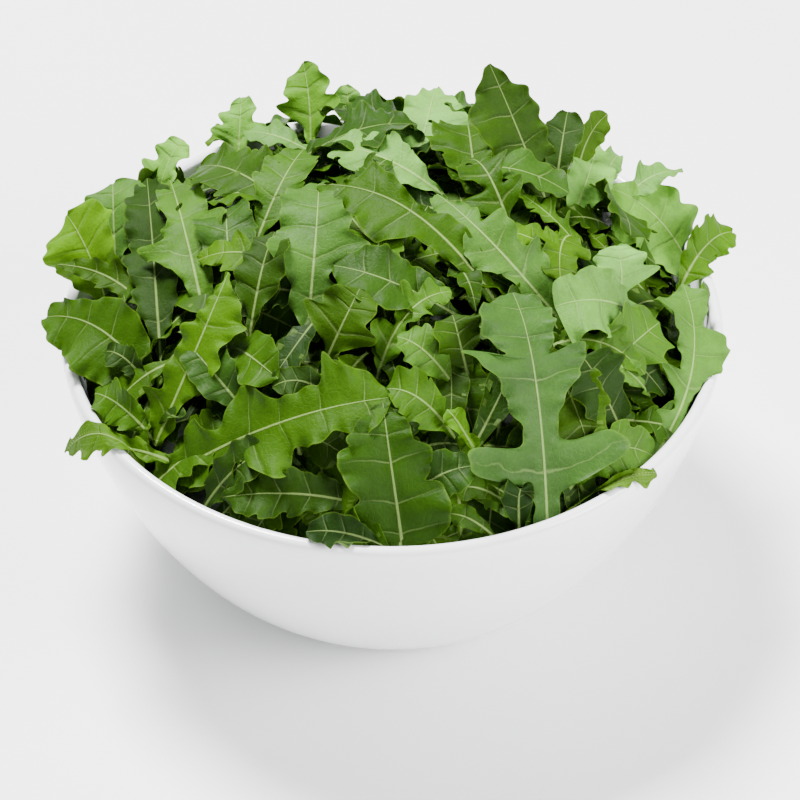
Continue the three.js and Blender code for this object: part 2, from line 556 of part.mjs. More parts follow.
const glaze = new THREE.MeshStandardMaterial({ color: 0xeef0f0, roughness: 0.18, metalness: 0 });
const rocket = new THREE.MeshStandardMaterial({ color: 0x4f7f33, roughness: 0.5, metalness: 0 });

const bowl = new THREE.Mesh(geometryOf(solidOf(turned(bowlSection(0)))), glaze);
bowl.name = 'bowl';

const leafHeap = new THREE.Mesh(heapGeometry(), rocket);
leafHeap.name = 'leaf_heap';

const bowlOfRocket = new THREE.Group();
bowlOfRocket.add(bowl);
bowlOfRocket.add(leafHeap);

export default bowlOfRocket;
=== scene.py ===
# %% [markdown]
# # A bowl heaped with rocket leaves
# The object is a white glazed salad bowl, filled over its rim with loose rocket leaves.
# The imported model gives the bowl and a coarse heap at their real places. This script keeps
# both places and makes what the eye wants: a smooth glazed wall and single thin leaves.

# %% Load the frame
import math

import bmesh
import bpy
import numpy as np
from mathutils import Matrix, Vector


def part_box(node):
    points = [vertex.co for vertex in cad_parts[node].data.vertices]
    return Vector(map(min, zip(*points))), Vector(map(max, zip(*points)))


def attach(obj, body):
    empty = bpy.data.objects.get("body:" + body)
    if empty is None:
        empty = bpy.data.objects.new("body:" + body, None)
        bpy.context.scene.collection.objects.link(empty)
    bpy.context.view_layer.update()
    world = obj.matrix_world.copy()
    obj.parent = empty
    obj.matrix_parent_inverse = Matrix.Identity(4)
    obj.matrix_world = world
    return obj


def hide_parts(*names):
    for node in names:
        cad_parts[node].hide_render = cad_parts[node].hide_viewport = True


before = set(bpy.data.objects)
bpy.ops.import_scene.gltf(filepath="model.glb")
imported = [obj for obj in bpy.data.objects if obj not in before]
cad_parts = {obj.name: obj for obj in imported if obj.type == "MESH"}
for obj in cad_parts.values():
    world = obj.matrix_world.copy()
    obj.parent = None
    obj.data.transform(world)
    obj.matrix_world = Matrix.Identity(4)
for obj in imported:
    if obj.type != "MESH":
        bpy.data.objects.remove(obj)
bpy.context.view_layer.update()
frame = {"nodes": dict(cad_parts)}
BOWL_LOW, BOWL_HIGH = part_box("bowl")
MM = 0.001
print("packed nodes:", ", ".join(frame["nodes"]))
print("bowl", [round(v, 4) for v in BOWL_LOW], [round(v, 4) for v in BOWL_HIGH])

# %% [markdown]
# ## The camera
# A camera is made first, because it settles what has to be seen. It looks down on the bowl
# from the front at 43 degrees, from far away with a long lens, so the rim stays nearly
# an even ellipse. It looks at a place close to the bowl's axis, below the rim.

# %% Camera
CAMERA_ELEVATION = 42.93
CAMERA_DISTANCE = 1.4
CAMERA_LENS = 170.4
CAMERA_AIM = Vector((2.9 * MM, 0, BOWL_HIGH.z - 40.8 * MM))


def add_camera():
    """A camera that looks down on the front of the bowl."""
    bpy.ops.object.camera_add()
    camera = bpy.context.object
    camera.name = "camera"
    tilt = math.radians(CAMERA_ELEVATION)
    back = Vector((0, -math.cos(tilt), math.sin(tilt)))
    camera.location = CAMERA_AIM + back * CAMERA_DISTANCE
    camera.rotation_euler = (math.pi / 2 - tilt, 0, 0)
    camera.data.lens = CAMERA_LENS
    camera.data.sensor_width = 36
    camera.data.clip_end = 20
    bpy.context.scene.camera = camera
    return camera


print("camera at", [round(v, 3) for v in add_camera().location])

# %% [markdown]
# ## Light
# The bowl stands in a bright, even studio. A large soft light above and behind on the left
# grazes the leaves and parts them by their shadows. A second one lights the bowl from the
# right, a weak one fills the front, and a pale sky keeps the gaps open. Area lights are
# used, because the size of such a light sets how soft its shadows are.

# %% Lights
LIGHT_AIM = Vector((0, 0, 0.1))


def add_soft_light(name, place, size, power):
    """A large square light that faces the heap."""
    bpy.ops.object.light_add(type="AREA", location=place)
    light = bpy.context.object
    light.name = name
    light.data.size = size
    light.data.energy = power
    aim = LIGHT_AIM - Vector(place)
    light.rotation_euler = aim.to_track_quat("-Z", "Y").to_euler()


add_soft_light("key_light", (-0.4, 0.6, 1.5), 0.5, 108)
add_soft_light("side_light", (1.2, -0.5, 0.8), 0.8, 50)
add_soft_light("front_light", (0.4, -1.6, 0.6), 1.0, 14)

world = bpy.data.worlds.new("studio")
bpy.context.scene.world = world
world.use_nodes = True
world.node_tree.nodes["Background"].inputs["Color"].default_value = (0.95, 0.97, 1, 1)
world.node_tree.nodes["Background"].inputs["Strength"].default_value = 0.3

# %% [markdown]
# ## Shader maths in plain Python
# A finish in Blender is a graph of nodes. Writing `veins * 0.4 + noise` is easier to read
# than four nodes and six links, so one small class wraps a socket and lets Python's own
# signs add the Math nodes. Every other node comes from one method, `node`.

# %% Shader helper
class Wire:
    """A value in a finish: Python's signs on it add Math nodes."""

    def __init__(self, finish, socket):
        self.finish = finish
        self.socket = socket

    def math(self, operation, other=0.0, reflected=False):
        pair = (other, self) if reflected else (self, other)
        return self.finish.node("ShaderNodeMath", {"operation": operation}, {0: pair[0], 1: pair[1]})

    def __add__(self, other):
        return self.math("ADD", other)

    __radd__ = __add__

    def __sub__(self, other):
        return self.math("SUBTRACT", other)

    def __rsub__(self, other):
        return self.math("SUBTRACT", other, reflected=True)

    def __mul__(self, other):
        return self.math("MULTIPLY", other)

    def __truediv__(self, other):
        return self.math("DIVIDE", other)

    def __pow__(self, other):
        return self.math("POWER", other)

    def __abs__(self):
        return self.math("ABSOLUTE")

    def fraction(self):
        return self.math("FRACT")

    def step(self, start, end):
        """0 below start, 1 above end, smooth between."""
        sockets = {"Value": self, "From Min": start, "From Max": end}
        return self.finish.node("ShaderNodeMapRange", {"interpolation_type": "SMOOTHSTEP"}, sockets)


class Finish:
    """A material whose nodes are added by name."""

    def __init__(self, name):
        self.material = bpy.data.materials.new(name)
        self.material.use_nodes = True
        self.tree = self.material.node_tree
        self.tree.nodes.clear()

    def node(self, kind, settings=None, sockets=None, out=0):
        """Adds a node: settings first, then the values or links of its sockets."""
        made = self.tree.nodes.new(kind)
        for name, value in (settings or {}).items():
            setattr(made, name, value)
        for name, value in (sockets or {}).items():
            if isinstance(value, Wire):
                self.tree.links.new(value.socket, made.inputs[name])
            else:
                made.inputs[name].default_value = value
        return Wire(self, made.outputs[out])

    def mix(self, share, first, second):
        """One colour turning into another."""
        sockets = {0: share, 6: first, 7: second}
        return self.node("ShaderNodeMix", {"data_type": "RGBA"}, sockets, out=2)

    def finish_with(self, surface):
        output = self.tree.nodes.new("ShaderNodeOutputMaterial")
        self.tree.links.new(surface.socket, output.inputs["Surface"])
        return self.material


def linear(red, green, blue):
    """A colour as seen on a screen, 0 to 255, as light."""
    return tuple((v / 255) ** 2.2 for v in (red, green, blue)) + (1,)


print("finishes are written as sums of wires")

# %% [markdown]
# ## The floor
# The photo has a plain white ground, so the floor is one large sheet with a pale matt finish.
# It isn't attached to the bowl's body, so it isn't part of the object.

# %% Floor
def floor_finish():
    """Matt and nearly white, with faint clouds."""
    finish = Finish("pale_floor")
    place = finish.node("ShaderNodeTexCoord", out="Object")
    grain = finish.node("ShaderNodeTexNoise", sockets={"Vector": place, "Scale": 3.0})
    tint = finish.mix(grain, linear(244, 244, 244), linear(250, 250, 250))
    return finish.finish_with(finish.node(
        "ShaderNodeBsdfPrincipled", sockets={"Base Color": tint, "Roughness": 0.6},
    ))


bpy.ops.object.select_all(action="DESELECT")
bpy.ops.mesh.primitive_plane_add(size=8)
floor = bpy.context.object
floor.name = "floor"
floor.data.materials.append(floor_finish())
print("floor", tuple(floor.dimensions))

# %% [markdown]
# ## The bowl
# A potter turns a bowl, so it is made by turning here as well. Half of its section is worked
# out first, from the axis under the foot, up the outside, over the lip and down the inside.
# The wall's curve is one formula, the same inside and outside. The rim's radius and the
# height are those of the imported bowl, which has 48 flat sides and makes way for this one.

# %% Bowl sizes
RIM_RADIUS = BOWL_HIGH.x / MM
BOWL_HEIGHT = BOWL_HIGH.z / MM
FOOT_RADIUS = 67.5
WALL = 4.5
FLOOR = 6.0
FOOT_BEVEL = 1.2
FULLNESS = 1.42
OUTSIDE_STEPS = 30
INSIDE_STEPS = 24


def wall_curve(foot, rim, low, high, steps):
    """Points of radius and height from the foot of a wall to its rim."""
    turn = np.linspace(0, math.pi / 2, steps + 1)
    out = np.sin(turn) ** (2 / FULLNESS)
    up = 1 - np.clip(np.cos(turn), 0, 1) ** (2 / FULLNESS)
    return list(zip(foot + (rim - foot) * out, low + (high - low) * up))


def bowl_section():
    """From the axis, under the foot, up the outside, over the lip and down the inside."""
    lip = WALL / 2
    shoulder = BOWL_HEIGHT - lip
    outside = wall_curve(FOOT_RADIUS, RIM_RADIUS, FOOT_BEVEL, shoulder, OUTSIDE_STEPS)
    inside = wall_curve(FOOT_RADIUS - WALL, RIM_RADIUS - WALL, FLOOR, shoulder, INSIDE_STEPS)
    over = [
        (RIM_RADIUS - lip + lip * math.cos(turn), shoulder + lip * math.sin(turn))
        for turn in np.linspace(0, math.pi, 10)[1:-1]
    ]
    foot = [(0, 0), (FOOT_RADIUS - 2 * FOOT_BEVEL, 0), (FOOT_RADIUS - 0.7 * FOOT_BEVEL, 0.3)]
    return foot + outside + over + inside[::-1] + [(0, FLOOR)]


print("bowl section has", len(bowl_section()), "points")

# %% [markdown]
# One point is extruded along the whole section, and the row that it leaves is spun round the
# axis. The spin meets itself where it closes and on the axis, so the doubled points are merged
# before the faces are turned outwards.

# %% Bowl
SPIN_STEPS = 144


def add_bowl():
    """The section is extruded point by point and spun round the axis."""
    bpy.ops.object.select_all(action="DESELECT")
    section = bowl_section()
    bpy.ops.mesh.primitive_plane_add(size=MM)
    bowl = bpy.context.object
    bowl.name = "glazed_bowl"
    bpy.ops.object.mode_set(mode="EDIT")
    bpy.ops.mesh.merge(type="CENTER")
    here = section[0]
    for place in section[1:]:
        move = ((place[0] - here[0]) * MM, 0, (place[1] - here[1]) * MM)
        bpy.ops.mesh.extrude_region_move(TRANSFORM_OT_translate={"value": move})
        here = place
    bpy.ops.mesh.select_all(action="SELECT")
    bpy.ops.mesh.spin(steps=SPIN_STEPS, angle=2 * math.pi, center=(0, 0, 0), axis=(0, 0, 1))
    bpy.ops.mesh.select_all(action="SELECT")
    bpy.ops.mesh.remove_doubles(threshold=0.02 * MM)
    bpy.ops.mesh.normals_make_consistent(inside=False)
    bpy.ops.object.mode_set(mode="OBJECT")
    bpy.ops.object.shade_smooth_by_angle(angle=math.radians(40))
    return bowl


bowl = add_bowl()
print("bowl", len(bowl.data.vertices), "points", len(bowl.data.polygons), "faces")

# %% [markdown]
# The glaze is nearly white and very smooth, with slow waves that make its reflections swim a
# little. Under the foot the glaze is wiped off, and the bare clay is matt and warmer.

# %% Glaze
def glaze_finish():
    """White porcelain under a clear coat."""
    finish = Finish("white_glaze")
    place = finish.node("ShaderNodeTexCoord", out="Object")
    parts = finish.node("ShaderNodeSeparateXYZ", sockets={"Vector": place}, out="Z")
    bare = 1 - parts.step(0.2 * MM, 0.6 * MM)
    cloud = finish.node("ShaderNodeTexNoise", sockets={"Vector": place, "Scale": 14.0, "Detail": 3.0})
    speck = finish.node("ShaderNodeTexNoise", sockets={"Vector": place, "Scale": 900.0, "Detail": 1.0})
    white = finish.mix(cloud, linear(238, 240, 241), linear(245, 246, 246))
    white = finish.mix(speck.step(0.72, 0.78) * 0.25, white, linear(205, 205, 200))
    colour = finish.mix(bare, white, linear(226, 219, 207))
    rough = 0.1 + cloud * 0.06 + bare * 0.5
    swell = finish.node("ShaderNodeTexNoise", sockets={"Vector": place, "Scale": 45.0, "Detail": 2.0})
    relief = finish.node("ShaderNodeBump", sockets={
        "Height": swell + speck * 0.04, "Strength": 0.06, "Distance": 0.4 * MM,
    })
    return finish.finish_with(finish.node("ShaderNodeBsdfPrincipled", sockets={
        "Base Color": colour, "Roughness": rough, "Normal": relief,
        "IOR": 1.5, "Coat Weight": 0.35, "Coat Roughness": 0.05,
    }))


bowl.data.materials.append(glaze_finish())
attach(bowl, "root")
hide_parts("bowl")
print("bowl finish", bowl.data.materials[0].name)

# %% [markdown]
# ## How the leaves lie
# Loose leaves pile up to a dome, high in the middle and just below the rim at the wall. One
# formula gives its height, and another the way it faces. All leaves are laid over this dome,
# as they are in the model, so each real leaf ends up where its solid stand-in was.

# %% Heap
HEAP_CROWN = 54.0
HEAP_SPREAD = 114.0
HEAP_POWER = 2.4
HEAP_EDGE = 6.0
HEAP_END = 1.25
WALL_CLEARANCE = 1.2
LIP_CLEARANCE = 1.6
LIP_FALL = 8.0
LIP_REACH = 7.0
PAST_RIM = 20.0


def heap_height(x, y):
    """Height of the leaves' tops in mm."""
    share = np.minimum(np.hypot(x, y) / HEAP_SPREAD, HEAP_END)
    return BOWL_HEIGHT - HEAP_EDGE + HEAP_CROWN * (1 - share ** HEAP_POWER)


def unit(vector):
    """The same way at a length of 1."""
    return vector / np.linalg.norm(vector, axis=-1, keepdims=True)


def heap_normal(x, y):
    """The way out of the heap."""
    return unit(np.array([
        heap_height(x - 1, y) - heap_height(x + 1, y),
        heap_height(x, y - 1) - heap_height(x, y + 1),
        2.0,
    ]))


def inside_radius(height):
    """Radius of the bowl's inside in mm."""
    share = np.clip((height - FLOOR) / (BOWL_HEIGHT - WALL / 2 - FLOOR), 0, 1)
    out = (1 - (1 - share) ** FULLNESS) ** (1 / FULLNESS)
    return FOOT_RADIUS - WALL + (RIM_RADIUS - FOOT_RADIUS) * out


def smooth(value, start, end):
    """0 below start, 1 above end, smooth between."""
    share = np.clip((value - start) / (end - start), 0, 1)
    return share * share * (3 - 2 * share)


def clear_of_bowl(points, over):
    """Keeps a leaf inside the wall, or above the lip where it hangs over it."""
    radius = np.hypot(points[:, 0], points[:, 1])
    if over:
        off_lip = (radius - RIM_RADIUS + WALL / 2) / LIP_REACH
        ridge = BOWL_HEIGHT + LIP_CLEARANCE - LIP_FALL * off_lip ** 2
        points[:, 2] = np.maximum(points[:, 2], ridge)
        return points
    free = smooth(points[:, 2], BOWL_HEIGHT - 1, BOWL_HEIGHT + 4)
    limit = inside_radius(points[:, 2]) - WALL_CLEARANCE + PAST_RIM * free
    pull = np.minimum(1, limit / np.maximum(radius, 1))
    points[:, :2] *= pull[:, None]
    return points


print("heap top at", round(float(heap_height(0, 0)), 1), "mm")

# %% [markdown]
# ## Kinds of leaf
# Rocket leaves on one plant differ a lot: young ones are plain spoons, older ones have teeth
# or deep lobes with a broad end. A kind is an outline from stalk to tip. Each station says how
# far along it is, how far the left and the right edge reach, and how far the edges lean
# towards the tip, so that lobes point forward as real ones do. The kinds come first that
# are laid many times, at any size.

# %% Common kinds
COMMON_KINDS = {
    "lobed": [
        (0, 0.06, 0.06, 0), (0.12, 0.07, 0.07, 0), (0.17, 0.2, 0.16, 0.01),
        (0.21, 0.62, 0.5, 0.05), (0.25, 0.95, 0.82, 0.1), (0.28, 1, 1, 0.14),
        (0.32, 0.62, 0.7, 0.11), (0.37, 0.28, 0.3, 0.04), (0.43, 0.22, 0.24, 0.01),
        (0.48, 0.42, 0.36, 0.04), (0.53, 0.8, 0.62, 0.1), (0.565, 0.92, 0.78, 0.15),
        (0.6, 0.6, 0.62, 0.11), (0.645, 0.3, 0.32, 0.04), (0.7, 0.3, 0.3, 0.01),
        (0.76, 0.44, 0.42, 0.02), (0.81, 0.52, 0.5, 0.03), (0.85, 0.46, 0.48, 0.02),
        (0.9, 0.46, 0.44, 0.02), (0.95, 0.3, 0.32, 0.01), (1, 0.06, 0.06, 0),
    ],
    "crowned": [
        (0, 0.06, 0.06, 0), (0.14, 0.07, 0.07, 0), (0.2, 0.16, 0.14, 0), (0.26, 0.4, 0.26, 0.02),
        (0.31, 0.62, 0.4, 0.06), (0.35, 0.5, 0.36, 0.05), (0.39, 0.28, 0.28, 0.01),
        (0.44, 0.5, 0.46, 0.04), (0.48, 0.84, 0.8, 0.1), (0.52, 1, 1, 0.16),
        (0.56, 0.86, 0.88, 0.15), (0.61, 0.6, 0.62, 0.08), (0.66, 0.48, 0.5, 0.03),
        (0.72, 0.56, 0.56, 0.04), (0.77, 0.64, 0.62, 0.06), (0.81, 0.56, 0.6, 0.04),
        (0.86, 0.58, 0.56, 0.04), (0.92, 0.4, 0.4, 0.03), (0.97, 0.2, 0.2, 0.01),
        (1, 0.05, 0.05, 0),
    ],
    "toothed": [
        (0, 0.06, 0.06, 0), (0.1, 0.09, 0.09, 0), (0.17, 0.3, 0.24, 0), (0.23, 0.6, 0.46, 0.03),
        (0.28, 0.84, 0.68, 0.08), (0.31, 0.74, 0.66, 0.06), (0.35, 0.58, 0.56, 0.02),
        (0.4, 0.78, 0.78, 0.05), (0.45, 0.96, 1, 0.1), (0.485, 0.84, 0.86, 0.08),
        (0.525, 0.68, 0.7, 0.02), (0.58, 0.88, 0.84, 0.05), (0.63, 1, 0.96, 0.1),
        (0.67, 0.84, 0.84, 0.07), (0.71, 0.7, 0.7, 0.02), (0.77, 0.72, 0.74, 0.04),
        (0.83, 0.66, 0.66, 0.06), (0.88, 0.48, 0.5, 0.02), (0.94, 0.32, 0.32, 0.02),
        (1, 0.05, 0.05, 0),
    ],
    "broad": [
        (0, 0.06, 0.06, 0), (0.1, 0.09, 0.09, 0), (0.17, 0.24, 0.2, 0), (0.24, 0.5, 0.42, 0.01),
        (0.32, 0.74, 0.66, 0.02), (0.4, 0.9, 0.84, 0.03), (0.46, 0.96, 0.92, 0.05),
        (0.52, 0.88, 0.95, 0.02), (0.58, 0.96, 0.9, 0.04), (0.65, 1, 0.98, 0.06),
        (0.71, 0.88, 0.9, 0.02), (0.78, 0.84, 0.8, 0.03), (0.86, 0.66, 0.66, 0.04),
        (0.93, 0.4, 0.4, 0.01), (1, 0.06, 0.06, 0),
    ],
    "spear": [
        (0, 0.1, 0.1, 0), (0.16, 0.14, 0.14, 0), (0.22, 0.24, 0.36, 0.01), (0.27, 0.44, 0.62, 0.05),
        (0.31, 0.68, 0.44, 0.08), (0.35, 0.46, 0.42, 0.02), (0.4, 0.48, 0.7, 0.04),
        (0.45, 0.66, 1, 0.1), (0.5, 0.96, 0.6, 0.12), (0.55, 0.6, 0.5, 0.04),
        (0.61, 0.56, 0.54, 0.02), (0.68, 0.68, 0.62, 0.06), (0.74, 0.52, 0.54, 0.02),
        (0.82, 0.44, 0.46, 0.02), (0.91, 0.26, 0.26, 0.01), (1, 0.05, 0.05, 0),
    ],
    "strap": [
        (0, 0.2, 0.2, 0), (0.18, 0.24, 0.24, 0), (0.37, 0.48, 0.52, 0.01), (0.56, 0.82, 0.74, 0.02),
        (0.73, 1, 1, 0.02), (0.88, 0.74, 0.78, 0.02), (1, 0.12, 0.12, 0),
    ],
    "winged": [
        (0, 0.06, 0.06, 0), (0.2, 0.08, 0.08, 0), (0.28, 0.3, 0.26, 0.01), (0.34, 0.7, 0.6, 0.06),
        (0.39, 1, 0.92, 0.1), (0.44, 0.86, 1, 0.12), (0.5, 0.6, 0.66, 0.07),
        (0.56, 0.5, 0.48, 0.02), (0.62, 0.6, 0.56, 0.03), (0.7, 0.64, 0.6, 0.05),
        (0.77, 0.5, 0.52, 0.02), (0.84, 0.46, 0.46, 0.03), (0.91, 0.34, 0.34, 0.02),
        (0.97, 0.18, 0.18, 0.01), (1, 0.05, 0.05, 0),
    ],
}
print("common kinds:", ", ".join(COMMON_KINDS))

# %% [markdown]
# The large leaves of the photo are all different, and each is known by its outline. So each
# of them is a kind of its own, drawn once with the lobes that it really has.

